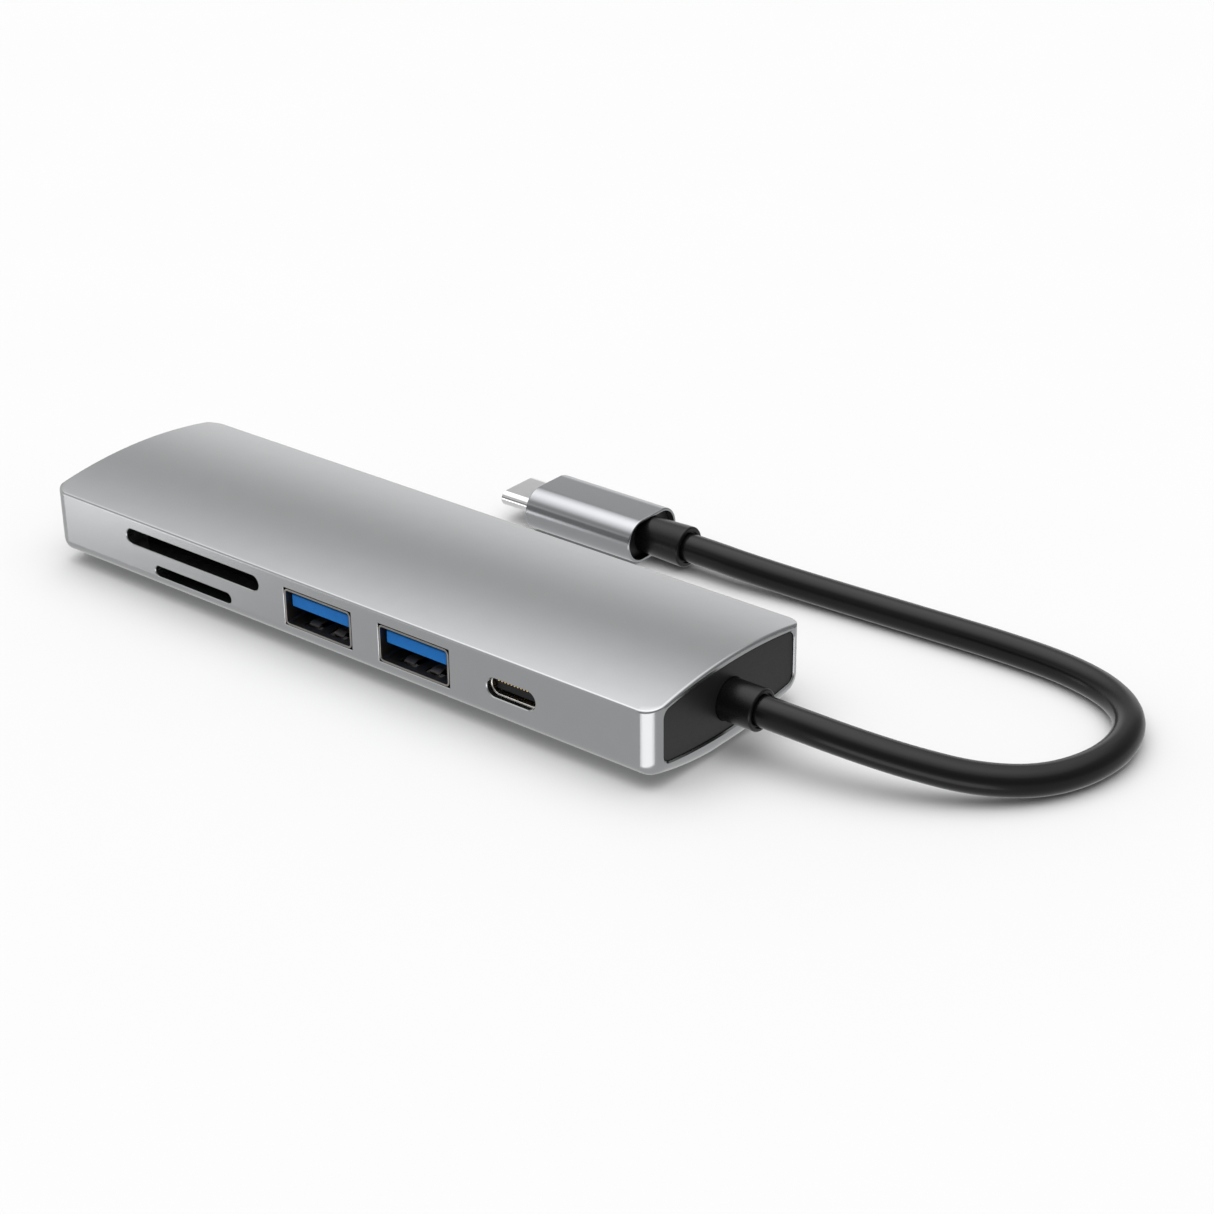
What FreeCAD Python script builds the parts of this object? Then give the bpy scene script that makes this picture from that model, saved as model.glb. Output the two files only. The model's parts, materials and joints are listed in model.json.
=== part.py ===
"""USB hub: extruded aluminium sleeve with card, USB-A and USB-C sockets, and a captive USB-C lead.

Origin: middle of the resting face.  +X towards the end the lead leaves, -Y towards the front row of
sockets, +Z up.  Millimetres.
"""
import FreeCAD, Part
import math
import os
import Sketcher
from FreeCAD import Placement, Rotation, Vector

# ---------------------------------------------------------------- driving dimensions
SIZES = {
    # housing
    "hub_length": 117.0,
    "hub_width": 34.0,
    "side_height": 9.58,
    "top_rise": 1.83,
    "bottom_rise": 2.46,
    "land_width": 7.0,
    "corner_round": 2.8,
    "top_end_round": 0.45,
    "low_end_round": 1.8,
    "cavity_width": 29.2,
    "cavity_side": 7.7,
    "cavity_lift": 0.52,
    "cavity_top_rise": 1.15,
    "cavity_bottom_rise": 1.17,
    "cavity_round": 1.4,
    "fit_gap": 0.05,
    # end caps
    "cap_thickness": 1.6,
    "cap_recess": 0.3,
    "rib_length": 3.0,
    "rib_height": 1.6,
    "rib_width": 3.2,
    "rib_margin": 0.6,
    # circuit board
    "board_thickness": 1.2,
    "board_bottom": 6.2,
    "board_depth": 28.8,
    "board_end_gap": 2.2,
    "notch_play": 0.2,
    # solder feet shared by the socket shells
    "foot_width": 0.9,
    "foot_offset": 0.35,
    # front sockets, measured from the middle of the hub
    "usb_left_x": -2.15,
    "usb_right_x": 16.35,
    "usb_c_x": 34.1,
    "sd_x": -28.0,
    "micro_x": -28.1,
    "usb_z": 7.3,
    "usb_c_z": 7.15,
    "sd_z": 9.0,
    "micro_z": 4.8,
    # USB-A receptacle
    "usb_width": 13.1,
    "usb_height": 5.8,
    "usb_depth": 13.8,
    "usb_cut_gap": 0.1,
    "usb_corner": 0.75,
    "sheet_metal": 0.3,
    "tongue_width": 11.3,
    "tongue_thickness": 1.95,
    "tongue_recess": 0.65,
    "insulator_depth": 3.0,
    "usb_foot_place": 9.0,
    "usb_foot_length": 2.4,
    "contact_groove_width": 1.3,
    "contact_groove_length": 7.3,
    "contact_groove_middle": 6.85,
    "contact_groove_depth": 1.0,
    "spring_window_width": 3.3,
    "spring_window_offset": 2.45,
    "spring_window_front": 1.1,
    "spring_window_length": 6.6,
    "spring_width": 1.9,
    "spring_thickness": 0.25,
    "spring_lift": 0.45,
    "spring_relief": 0.8,
    # USB-C receptacle
    "usb_c_slot_width": 8.6,
    "usb_c_slot_height": 2.9,
    "usb_c_width": 8.94,
    "usb_c_height": 3.2,
    "usb_c_depth": 7.4,
    "usb_c_recess": 1.0,
    "usb_c_tongue_recess": 0.15,
    "usb_c_contact_pitch": 0.56,
    "usb_c_seat_play": 0.2,
    "usb_c_back_wall": 1.6,
    "usb_c_tongue_width": 6.7,
    "usb_c_tongue_thickness": 1.15,
    "usb_c_foot_place": 5.0,
    "usb_c_foot_length": 1.8,
    # card slots and sockets
    "sd_slot_width": 28.1,
    "sd_slot_height": 2.45,
    "sd_frame_width": 29.4,
    "sd_frame_depth": 28.0,
    "sd_frame_height": 2.95,
    "sd_card_width": 24.3,
    "sd_floor": 0.4,
    "sd_back_wall": 1.6,
    "sd_lever_offset": 12.9,
    "sd_lever_place": 7.5,
    "sd_lever_room_width": 1.7,
    "sd_lever_room_length": 7.0,
    "sd_tail_slot_width": 22.4,
    "sd_tail_slot_height": 0.35,
    "sd_cover_slot_offset": 7.0,
    "sd_cover_slot_place": 4.0,
    "sd_cover_slot_width": 2.2,
    "sd_cover_slot_length": 9.0,
    "socket_setback": 0.1,
    "micro_slot_width": 16.2,
    "micro_slot_height": 1.7,
    "micro_setback": 1.5,
    "micro_frame_width": 14.0,
    "micro_frame_depth": 15.0,
    "micro_frame_height": 2.2,
    "micro_card_width": 11.3,
    "micro_floor": 0.5,
    "micro_back_wall": 1.4,
    "cover_sheet": 0.2,
    "cover_back_gap": 0.4,
    # HDMI receptacle in the left end
    "hdmi_width": 15.0,
    "hdmi_height": 5.9,
    "hdmi_depth": 11.4,
    "hdmi_corner": 1.6,
    "hdmi_knee_run": 0.6,
    "hdmi_knee_drop": 1.2,
    "hdmi_z": 7.3,
    "hdmi_back_wall": 2.2,
    "hdmi_tongue_recess": 1.2,
    "hdmi_tongue_width": 10.8,
    "hdmi_tongue_thickness": 1.5,
    "hdmi_tongue_lift": 0.25,
    "hdmi_window_offset": 3.6,
    "hdmi_window_place": 6.0,
    "hdmi_window_length": 6.0,
    "hdmi_window_width": 2.6,
    "hdmi_foot_place": 9.0,
    "hdmi_foot_length": 2.0,
    # lead
    "lead_width": 4.5,
    "collar_width": 6.1,
    "collar_reach": 63.7,
    "collar_flange": 8.4,
    "collar_flange_depth": 1.2,
    "lead_seat": 0.4,
    "lead_seat_width": 5.0,
    "wire_width": 0.7,
    # plug
    "plug_front_x": -7.16,
    "plug_back_x": 13.64,
    "plug_y": 40.3,
    "plug_z": 3.53,
    "plug_width": 11.98,
    "plug_height": 7.03,
    "plug_wall": 0.45,
    "plug_rear_recess": 1.2,
    "plug_front_recess": 0.2,
    "plug_collar_width": 5.9,
    "plug_collar_end_width": 6.5,
    "plug_collar_reach": 20.8,
    "plug_root_width": 4.4,
    "plug_root_length": 3.2,
    "plug_root_play": 0.02,
    "plug_root_end_play": 0.05,
    "collar_ease": 0.25,
    "card_space_width": 9.0,
    "card_space_height": 3.4,
    "card_space_start": 1.2,
    "card_space_end_wall": 3.2,
    "tip_root": 1.6,
    "tip_hole_depth": 1.3,
    "tip_hole_play": 0.1,
    "tip_width": 8.25,
    "tip_height": 2.4,
    "tip_wall": 0.25,
    "tip_reach": 6.54,
    "tip_insulator_recess": 0.15,
    "tip_insulator_play": 0.04,
    "tip_slot_width": 7.36,
    "tip_slot_height": 0.9,
    "tip_slot_depth": 6.3,
}

document = FreeCAD.newDocument("usb_hub")
sheet = document.addObject("Spreadsheet::Sheet", "Sizes")
for row, (name, number) in enumerate(SIZES.items(), 1):
    sheet.set(f"A{row}", name)
    sheet.set(f"B{row}", str(number))
    sheet.setAlias(f"B{row}", name)
document.recompute()


class Size:
    """A length with both its number and the sheet expression that it is bound to."""

    def __init__(self, number, text=None):
        self.number = float(number)
        self.text = text or f"({float(number)!r})"

    def combined(self, other, sign, number):
        return Size(number, f"({self.text} {sign} {other.text})")

    def __add__(self, other):
        other = as_size(other)
        return self.combined(other, "+", self.number + other.number)

    def __sub__(self, other):
        other = as_size(other)
        return self.combined(other, "-", self.number - other.number)

    def __mul__(self, other):
        other = as_size(other)
        return self.combined(other, "*", self.number * other.number)

    def __truediv__(self, other):
        other = as_size(other)
        return self.combined(other, "/", self.number / other.number)

    def __radd__(self, other):
        return as_size(other) + self

    def __rsub__(self, other):
        return as_size(other) - self

    def __rmul__(self, other):
        return as_size(other) * self

    def __neg__(self):
        return as_size(0) - self

    def __float__(self):
        return self.number


def as_size(value):
    return value if isinstance(value, Size) else Size(value)


class Sheet:
    """Every cell of the sheet as a Size."""


cell = Sheet()
for name, number in SIZES.items():
    setattr(cell, name, Size(number, f"Sizes.{name}"))

# Derived places that several pieces share
front = -cell.hub_width / 2
cap_face = cell.hub_length / 2 - cell.cap_recess
mid_height = cell.bottom_rise + cell.side_height / 2
cavity_low = mid_height + cell.cavity_lift - cell.cavity_side / 2
cavity_high = cavity_low + cell.cavity_side
board_top = cell.board_bottom + cell.board_thickness
inner_front = -cell.cavity_width / 2
usb_centres = {"left": cell.usb_left_x, "right": cell.usb_right_x}

SMALLEST_CUT = 0.0001
TOUCH = 0.01                  # edges within this distance of a place count as lying on it
made = []


def keep(piece, label):
    """List a finished piece for export under its label."""
    piece.Label = label
    made.append(piece)
    return piece


# ---------------------------------------------------------------- building helpers
def bind(thing, path, value):
    thing.setExpression(path, as_size(value).text)


def new_body(label):
    return document.addObject("PartDesign::Body", label)


def origin_plane(body, role):
    return next(item for item in body.Origin.OriginFeatures if item.Role == role)


def new_sketch(body, role, offset=0):
    """A sketch on one of the body's own planes: YZ looks along +X, XZ along -Y, XY along +Z."""
    sketch = body.newObject("Sketcher::SketchObject", f"{body.Name}_sketch")
    sketch.AttachmentSupport = (origin_plane(body, role), [""])
    sketch.MapMode = "FlatFace"
    bind(sketch, "AttachmentOffset.Base.z", offset)
    return sketch


def hold(sketch, geometry, point, u, v):
    """Fix a point of the sketch at (u, v)."""
    for kind, value in (("DistanceX", u), ("DistanceY", v)):
        value = as_size(value)
        index = sketch.addConstraint(Sketcher.Constraint(kind, -1, 1, geometry, point, value.number))
        sketch.setExpression(f"Constraints[{index}]", value.text)


def polygon(sketch, corners):
    """A closed outline of straight lines through the corners."""
    points = [Vector(float(as_size(u)), float(as_size(v)), 0) for u, v in corners]
    first = sketch.GeometryCount
    count = len(points)
    for index, point in enumerate(points):
        sketch.addGeometry(Part.LineSegment(point, points[(index + 1) % count]), False)
    for index in range(count):
        following = first + (index + 1) % count
        sketch.addConstraint(Sketcher.Constraint("Coincident", first + index, 2, following, 1))
    for index, (u, v) in enumerate(corners):
        hold(sketch, first + index, 1, u, v)


def rectangle(sketch, u, v, width, height):
    """A rectangle centred on (u, v)."""
    u, v, width, height = (as_size(value) for value in (u, v, width, height))
    left, right = u - width / 2, u + width / 2
    low, high = v - height / 2, v + height / 2
    polygon(sketch, [(left, low), (right, low), (right, high), (left, high)])


def stadium(sketch, u, v, width, height):
    """A slot with full round ends, centred on (u, v)."""
    u, v, width, height = (as_size(value) for value in (u, v, width, height))
    reach, radius = (width - height) / 2, height / 2
    first = sketch.GeometryCount
    x, y, a, r = float(u), float(v), float(reach), float(radius)
    up = Vector(0, 0, 1)
    sketch.addGeometry(Part.LineSegment(Vector(x - a, y - r, 0), Vector(x + a, y - r, 0)), False)
    right = Part.Circle(Vector(x + a, y, 0), up, r)
    sketch.addGeometry(Part.ArcOfCircle(right, -math.pi / 2, math.pi / 2), False)
    sketch.addGeometry(Part.LineSegment(Vector(x + a, y + r, 0), Vector(x - a, y + r, 0)), False)
    left = Part.Circle(Vector(x - a, y, 0), up, r)
    sketch.addGeometry(Part.ArcOfCircle(left, math.pi / 2, 3 * math.pi / 2), False)
    for one, other in ((0, 1), (1, 2), (2, 3), (3, 0)):
        sketch.addConstraint(Sketcher.Constraint("Tangent", first + one, 2, first + other, 1))
    sketch.addConstraint(Sketcher.Constraint("Equal", first + 1, first + 3))
    hold(sketch, first + 1, 3, u + reach, v)
    index = sketch.addConstraint(Sketcher.Constraint("DistanceX", -1, 1, first + 3, 3, x - a))
    sketch.setExpression(f"Constraints[{index}]", (u - reach).text)
    sketch.addConstraint(Sketcher.Constraint("Horizontal", first))
    index = sketch.addConstraint(Sketcher.Constraint("Radius", first + 1, r))
    sketch.setExpression(f"Constraints[{index}]", radius.text)


def circle(sketch, u, v, radius):
    centre = Vector(float(u), float(v), 0)
    index = sketch.addGeometry(Part.Circle(centre, Vector(0, 0, 1), float(radius)), False)
    hold(sketch, index, 3, u, v)
    index = sketch.addConstraint(Sketcher.Constraint("Radius", index, float(radius)))
    sketch.setExpression(f"Constraints[{index}]", as_size(radius).text)


def arch(sketch, half_width, side_low, side_high, rise_low, rise_high, land=None):
    """A band with upright sides, a shallow arc above and below, and an optional flat land below."""
    w, low, high = (as_size(value) for value in (half_width, side_low, side_high))
    up = Vector(0, 0, 1)
    rise_high = as_size(rise_high)
    rise_low = as_size(rise_low)
    half_land = as_size(land) / 2 if land else None
    top_radius = (w * w + rise_high * rise_high) / (2 * rise_high)
    top_centre = high + rise_high - top_radius
    bottom = low - rise_low
    flat = half_land * half_land if land else as_size(0)
    bottom_centre = bottom + (w * w + rise_low * rise_low - flat) / (2 * rise_low)

    def arc(centre, start, end):
        """Counter-clockwise arc round (0, centre) between two points."""
        radius = math.hypot(start[0], start[1] - centre)
        begin = math.atan2(start[1] - centre, start[0])
        finish = math.atan2(end[1] - centre, end[0])
        return Part.ArcOfCircle(Part.Circle(Vector(0, centre, 0), up, radius), begin, finish)

    wide, down, over = float(w), float(low), float(high)
    first = sketch.GeometryCount
    sketch.addGeometry(Part.LineSegment(Vector(wide, down, 0), Vector(wide, over, 0)), False)
    sketch.addGeometry(arc(float(top_centre), (wide, over), (-wide, over)), False)
    sketch.addGeometry(Part.LineSegment(Vector(-wide, over, 0), Vector(-wide, down, 0)), False)
    hold(sketch, first, 1, w, low)
    hold(sketch, first, 2, w, high)
    hold(sketch, first + 2, 1, -w, high)
    hold(sketch, first + 2, 2, -w, low)
    sketch.addConstraint(Sketcher.Constraint("Coincident", first, 2, first + 1, 1))
    sketch.addConstraint(Sketcher.Constraint("Coincident", first + 1, 2, first + 2, 1))
    index = sketch.addConstraint(Sketcher.Constraint("Radius", first + 1, float(top_radius)))
    sketch.setExpression(f"Constraints[{index}]", top_radius.text)
    if land:
        flat_low, side = float(bottom), float(half_land)
        sketch.addGeometry(arc(float(bottom_centre), (-wide, down), (-side, flat_low)), False)
        sketch.addGeometry(Part.LineSegment(Vector(-side, flat_low, 0), Vector(side, flat_low, 0)), False)
        sketch.addGeometry(arc(float(bottom_centre), (side, flat_low), (wide, down)), False)
        hold(sketch, first + 4, 1, -half_land, bottom)
        hold(sketch, first + 4, 2, half_land, bottom)
        joints = ((2, 2, 3, 1), (3, 2, 4, 1), (4, 2, 5, 1), (5, 2, 0, 1))
        bottom_arcs = (3, 5)
    else:
        sketch.addGeometry(arc(float(bottom_centre), (-wide, down), (wide, down)), False)
        joints = ((2, 2, 3, 1), (3, 2, 0, 1))
        bottom_arcs = (3,)
    for one, end, other, start in joints:
        sketch.addConstraint(Sketcher.Constraint("Coincident", first + one, end, first + other, start))
    climb = bottom_centre - low
    bottom_radius = Size(math.hypot(float(w), float(climb)), f"sqrt({(w * w + climb * climb).text})")
    for number in bottom_arcs:
        index = sketch.addConstraint(Sketcher.Constraint("Radius", first + number, bottom_radius.number))
        sketch.setExpression(f"Constraints[{index}]", bottom_radius.text)


def pad(body, sketch, length, back=False):
    feature = body.newObject("PartDesign::Pad", f"{body.Name}_pad")
    feature.Profile = sketch
    feature.Reversed = back
    bind(feature, "Length", length)
    return feature


def pocket(body, sketch, depth, back=False):
    """Cut the sketch into the body, against the sketch's own direction unless back is set."""
    document.recompute()
    before = body.Shape.Volume
    feature = body.newObject("PartDesign::Pocket", f"{body.Name}_pocket")
    feature.Profile = sketch
    feature.Reversed = back
    bind(feature, "Length", depth)
    document.recompute()
    if body.Shape.Volume > before - SMALLEST_CUT:
        raise RuntimeError(f"{feature.Name} removes nothing: {before}")
    return feature


def fillet(body, radius, wanted):
    """Round the edges of the body's tip that pass the test."""
    document.recompute()
    base = body.Tip
    names = [f"Edge{number}" for number, edge in enumerate(base.Shape.Edges, 1) if wanted(edge)]
    feature = body.newObject("PartDesign::Fillet", f"{body.Name}_fillet")
    feature.Base = (base, names)
    bind(feature, "Radius", radius)
    return feature


def block(label, centre, spans):
    """A plain box centred on a point."""
    box = document.addObject("Part::Box", label)
    for axis, edge, middle, span in zip("xyz", ("Length", "Width", "Height"), centre, spans):
        span = as_size(span)
        bind(box, edge, span)
        bind(box, f"Placement.Base.{axis}", as_size(middle) - span / 2)
    return box


def group(label, shapes):
    """Several identical or matching small solids that share one node."""
    piece = document.addObject("Part::Feature", label)
    piece.Shape = Part.makeCompound(shapes)
    return keep(piece, label)


def solid_box(centre, spans):
    centre = Vector(*(float(value) for value in centre))
    spans = Vector(*(float(value) for value in spans))
    return Part.makeBox(spans.x, spans.y, spans.z, centre - spans / 2)


def strip(points, thickness, width, across, start):
    """Sheet-metal strip: the points are its middle line, bent sharply; it is width wide along across.

    across is "x" for a strip drawn in the YZ plane, "y" for one in XZ and "z" for one in XY.
    """
    sides = ([], [])
    for index, (u, v) in enumerate(points):
        before = points[max(index - 1, 0)]
        after = points[min(index + 1, len(points) - 1)]
        du, dv = after[0] - before[0], after[1] - before[1]
        length = math.hypot(du, dv)
        nu, nv = -dv / length * thickness / 2, du / length * thickness / 2
        sides[0].append((u + nu, v + nv))
        sides[1].append((u - nu, v - nv))
    outline = sides[0] + sides[1][::-1]
    place = {
        "x": lambda u, v: Vector(start, u, v),
        "y": lambda u, v: Vector(u, start, v),
        "z": lambda u, v: Vector(u, v, start),
    }[across]
    sweep = {"x": Vector(width, 0, 0), "y": Vector(0, width, 0), "z": Vector(0, 0, width)}[across]
    corners = [place(u, v) for u, v in outline]
    face = Part.Face(Part.makePolygon(corners + corners[:1]))
    return face.extrude(sweep)


# ---------------------------------------------------------------- housing
SHAVE_MARGIN = 3.0            # how far the turned-away stock reaches past the finished faces
SHAVE_ANGLE = 60              # sweep of the cut, wider than the arc that the housing spans


def shave(body, side, level, ease, axis_z):
    """Turn away what lies outside a rounded-end outline with its flat at level, about z = axis_z."""
    sketch = new_sketch(body, "XZ_Plane")
    half = cell.hub_length / 2
    out = half + SHAVE_MARGIN
    far = level + side * SHAVE_MARGIN
    bend = level - side * ease
    corners = [(-out, mid_height), (-half, mid_height), (-half, bend), (-half + ease, level),
               (half - ease, level), (half, bend), (half, mid_height), (out, mid_height),
               (out, far), (-out, far)]
    left_arc, right_arc = 2, 4
    arcs = (left_arc, right_arc)
    points = [Vector(float(u), float(v), 0) for u, v in corners]
    count = len(points)
    for index, point in enumerate(points):
        following = points[(index + 1) % count]
        if index in arcs:
            inward = 1 if index == left_arc else -1
            hub = Vector((float(ease) - float(half)) * inward, float(bend), 0)
            diagonal = (point + following) / 2 - hub
            middle = hub + diagonal.normalize() * float(ease)
            sketch.addGeometry(Part.Arc(point, middle, following), False)
        else:
            sketch.addGeometry(Part.LineSegment(point, following), False)
    for index in range(count):
        if index not in arcs:
            hold(sketch, index, 1, *corners[index])
            hold(sketch, index, 2, *corners[(index + 1) % count])
            continue
        forward = sketch.getPoint(index, 1).distanceToPoint(points[index]) < TOUCH
        start, end = (1, 2) if forward else (2, 1)
        sketch.addConstraint(Sketcher.Constraint("Coincident", index - 1, 2, index, start))
        sketch.addConstraint(Sketcher.Constraint("Coincident", index, end, index + 1, 1))
        radius = sketch.addConstraint(Sketcher.Constraint("Radius", index, float(ease)))
        sketch.setExpression(f"Constraints[{radius}]", ease.text)
    axis = body.newObject("PartDesign::Line", f"{body.Name}_axis")
    bind(axis, "Placement.Base.z", axis_z)
    axis.Placement.Rotation = Rotation(Vector(0, 1, 0), 90)
    document.recompute()
    before = body.Shape.Volume
    groove = body.newObject("PartDesign::Groove", f"{body.Name}_groove")
    groove.Profile = sketch
    groove.ReferenceAxis = (axis, [""])
    groove.Angle = SHAVE_ANGLE
    groove.Midplane = True
    document.recompute()
    if body.Shape.Volume > before - SMALLEST_CUT:
        raise RuntimeError(f"{groove.Name} removes nothing")


CUT_THROUGH = 1.0             # how far a through cut starts outside the body
WALL_OVERCUT = 0.2            # how far the front openings reach into the cavity


def make_housing():
    body = new_body("housing_sleeve")
    plan = new_sketch(body, "XY_Plane")
    rectangle(plan, 0, 0, cell.hub_length, cell.hub_width)
    pad(body, plan, cell.bottom_rise + cell.side_height + cell.top_rise)

    def upright(edge):
        return edge.BoundBox.XLength + edge.BoundBox.YLength < TOUCH

    fillet(body, cell.corner_round, upright)
    # The top and bottom are shallow arcs across the hub, rounded over at both ends, so the stock
    # outside them is turned away about each arc's own axis.
    half_width = cell.hub_width / 2
    half_land = cell.land_width / 2
    top = cell.bottom_rise + cell.side_height + cell.top_rise
    top_radius = (half_width * half_width + cell.top_rise * cell.top_rise) / (2 * cell.top_rise)
    shave(body, 1, top, cell.top_end_round, top - top_radius)
    chord = half_width * half_width + cell.bottom_rise * cell.bottom_rise - half_land * half_land
    bottom_centre = chord / (2 * cell.bottom_rise)
    reach = math.hypot(float(bottom_centre), float(half_land))
    shave(body, -1, bottom_centre - reach, cell.low_end_round, bottom_centre)
    cavity = new_sketch(body, "YZ_Plane", -cell.hub_length / 2 - CUT_THROUGH)
    rises = (cell.cavity_bottom_rise, cell.cavity_top_rise)
    arch(cavity, cell.cavity_width / 2, cavity_low, cavity_high, *rises)
    pocket(body, cavity, cell.hub_length + 2 * CUT_THROUGH, back=True)

    def cavity_corner(edge):
        long_edge = edge.Length > float(cell.hub_length) / 2
        return long_edge and abs(abs(edge.CenterOfMass.y) - float(cell.cavity_width) / 2) < TOUCH

    fillet(body, cell.cavity_round, cavity_corner)
    wall = (cell.hub_width - cell.cavity_width) / 2 + WALL_OVERCUT
    slots = new_sketch(body, "XZ_Plane", cell.hub_width / 2)
    stadium(slots, cell.sd_x, cell.sd_z, cell.sd_slot_width, cell.sd_slot_height)
    stadium(slots, cell.micro_x, cell.micro_z, cell.micro_slot_width, cell.micro_slot_height)
    stadium(slots, cell.usb_c_x, cell.usb_c_z, cell.usb_c_slot_width, cell.usb_c_slot_height)
    for centre in usb_centres.values():
        width = cell.usb_width + 2 * cell.usb_cut_gap
        rectangle(slots, centre, cell.usb_z, width, cell.usb_height + 2 * cell.usb_cut_gap)
    pocket(body, slots, wall)
    seat = new_sketch(body, "XZ_Plane", cell.hub_width / 2 - cell.usb_c_recess)
    play = cell.usb_c_seat_play
    stadium(seat, cell.usb_c_x, cell.usb_c_z, cell.usb_c_width + play, cell.usb_c_height + play)
    pocket(body, seat, wall - cell.usb_c_recess)
    relief_start = cell.hub_width / 2 - cell.spring_window_front + WALL_OVERCUT
    relief = new_sketch(body, "XZ_Plane", relief_start)
    relief_z = cell.usb_z - cell.usb_height / 2 - cell.spring_relief / 2
    for centre in usb_centres.values():
        spread = 2 * cell.spring_window_offset + cell.spring_window_width
        rectangle(relief, centre, relief_z, spread, cell.spring_relief)
    pocket(body, relief, wall)
    return keep(body, "housing_sleeve")


def make_cap(label, side):
    """An end cap; side is +1 for the lead end and -1 for the HDMI end."""
    body = new_body(label)
    inner = cell.hub_length / 2 - cell.cap_recess - cell.cap_thickness
    start = inner if side > 0 else -cap_face
    panel = new_sketch(body, "YZ_Plane", start)
    half = cell.cavity_width / 2 - cell.fit_gap
    rises = (cell.cavity_bottom_rise - cell.fit_gap, cell.cavity_top_rise - cell.fit_gap)
    arch(panel, half, cavity_low, cavity_high, *rises)
    pad(body, panel, cell.cap_thickness)

    def panel_corner(edge):
        through = abs(edge.BoundBox.XLength - float(cell.cap_thickness)) < TOUCH
        return through and edge.BoundBox.YLength < TOUCH

    fillet(body, cell.cavity_round - cell.fit_gap, panel_corner)
    ribs = new_sketch(body, "YZ_Plane", inner * side)
    for y_sign in (-1, 1):
        y = y_sign * (half - cell.rib_width / 2 - cell.rib_margin)
        above = board_top + cell.fit_gap + cell.rib_height / 2
        below = cell.board_bottom - cell.fit_gap - cell.rib_height / 2
        rectangle(ribs, y, above, cell.rib_width, cell.rib_height)
        rectangle(ribs, y, below, cell.rib_width, cell.rib_height)
    pad(body, ribs, cell.rib_length, back=side > 0)
    opening = new_sketch(body, "YZ_Plane", start)
    if side > 0:
        circle(opening, 0, mid_height, cell.collar_width / 2)
    else:
        hdmi_outline(opening, cell.fit_gap)
    pocket(body, opening, cell.cap_thickness, back=True)
    return keep(body, label)


# ---------------------------------------------------------------- circuit board
def make_board():
    body = new_body("circuit_board")
    outline = new_sketch(body, "XY_Plane", cell.board_bottom)
    rectangle(outline, 0, 0, cell.hub_length - 2 * cell.board_end_gap, cell.board_depth)
    pad(body, outline, cell.board_thickness)
    notches = new_sketch(body, "XY_Plane", board_top)
    play = cell.notch_play
    outside = -cell.board_depth / 2 - CUT_THROUGH
    for centre in usb_centres.values():
        reach = cell.usb_depth + front + play
        rectangle(notches, centre, (outside + reach) / 2, cell.usb_width + play, reach - outside)
    reach = front + cell.usb_c_recess + cell.usb_c_depth + play
    rectangle(notches, cell.usb_c_x, (outside + reach) / 2, cell.usb_c_width + play, reach - outside)
    outside = -cell.hub_length / 2 + cell.board_end_gap - CUT_THROUGH
    reach = -cap_face + cell.hdmi_depth + play
    rectangle(notches, (outside + reach) / 2, 0, reach - outside, cell.hdmi_width + play)
    outside = cell.hub_length / 2 - cell.board_end_gap + CUT_THROUGH
    reach = cap_face - cell.cap_thickness - cell.collar_flange_depth - play
    rectangle(notches, (outside + reach) / 2, 0, outside - reach, cell.collar_flange + 2 * play)
    pocket(body, notches, cell.board_thickness)
    return keep(body, "circuit_board")


# Each chip: its middle on the board and its width, depth and height.
CHIPS = {
    "hub_controller": ((24.0, 6.0), (9.0, 9.0, 0.9)),
    "video_converter": ((4.5, 6.5), (8.0, 8.0, 0.8)),
    "power_controller": ((37.5, 4.0), (5.0, 5.0, 0.8)),
}
READER_PLACE = (3.0, 9.0)
READER_SPANS = (6.0, 6.0, 0.8)
# Each row of small parts: the spans of one part, and the middles of them all.
SMALL_PARTS = {
    "crystals": ((3.2, 2.5, 0.8), [(14.5, 10.5), (31.5, 11.0)]),
    "power_coils": ((4.0, 4.0, 2.0), [(44.5, 9.5), (44.5, 3.0)]),
    "ceramic_capacitors": ((1.6, 0.8, 0.8), [(x, -1.0) for x in (-8, -5, 21, 24, 27)]
                           + [(x, 12.8) for x in (20, 23, 26, 38, 41)]),
    "chip_resistors": ((1.0, 0.5, 0.35), [(x, 1.2) for x in (13, 15, 31, 33)]
                       + [(x, 12.6) for x in (0, 2, 4, 6, 8)]),
}


def make_chips():
    """The board's parts: integrated circuits, crystals, coils and small passives."""
    for label, ((x, y), spans) in CHIPS.items():
        keep(block(label, (x, y, board_top + spans[2] / 2), spans), label)
    reader = (*READER_PLACE, cell.board_bottom - READER_SPANS[2] / 2)
    keep(block("card_reader_chip", reader, READER_SPANS), "card_reader_chip")
    top = float(board_top)
    for label, (spans, places) in SMALL_PARTS.items():
        group(label, [solid_box((x, y, top + spans[2] / 2), spans) for x, y in places])


# ---------------------------------------------------------------- USB-A receptacles
CONTACT_OFFSETS = (-3.5, -1.0, 1.0, 3.5)
# Middle line of one contact spring: place along Y, and height over the underside of the tongue.
CONTACT_LINE = [(-6.6, 0.55), (-9.5, 0.35), (-12.2, -0.3), (-13.0, -0.05), (-13.3, 0.2)]
CONTACT_SHEET = 0.18
CONTACT_WIDTH = 0.9
FIXED_OFFSETS = (-4.2, -2.1, 0.0, 2.1, 4.2)
FIXED_SPANS = (0.7, 1.5, 0.08)
FIXED_PLACE = -15.35
TAIL_OFFSETS = (-4.2, -3.5, -2.1, -1.0, 0.0, 1.0, 2.1, 3.5, 4.2)
TAIL_SPANS = (0.4, 1.0, 0.2)
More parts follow.
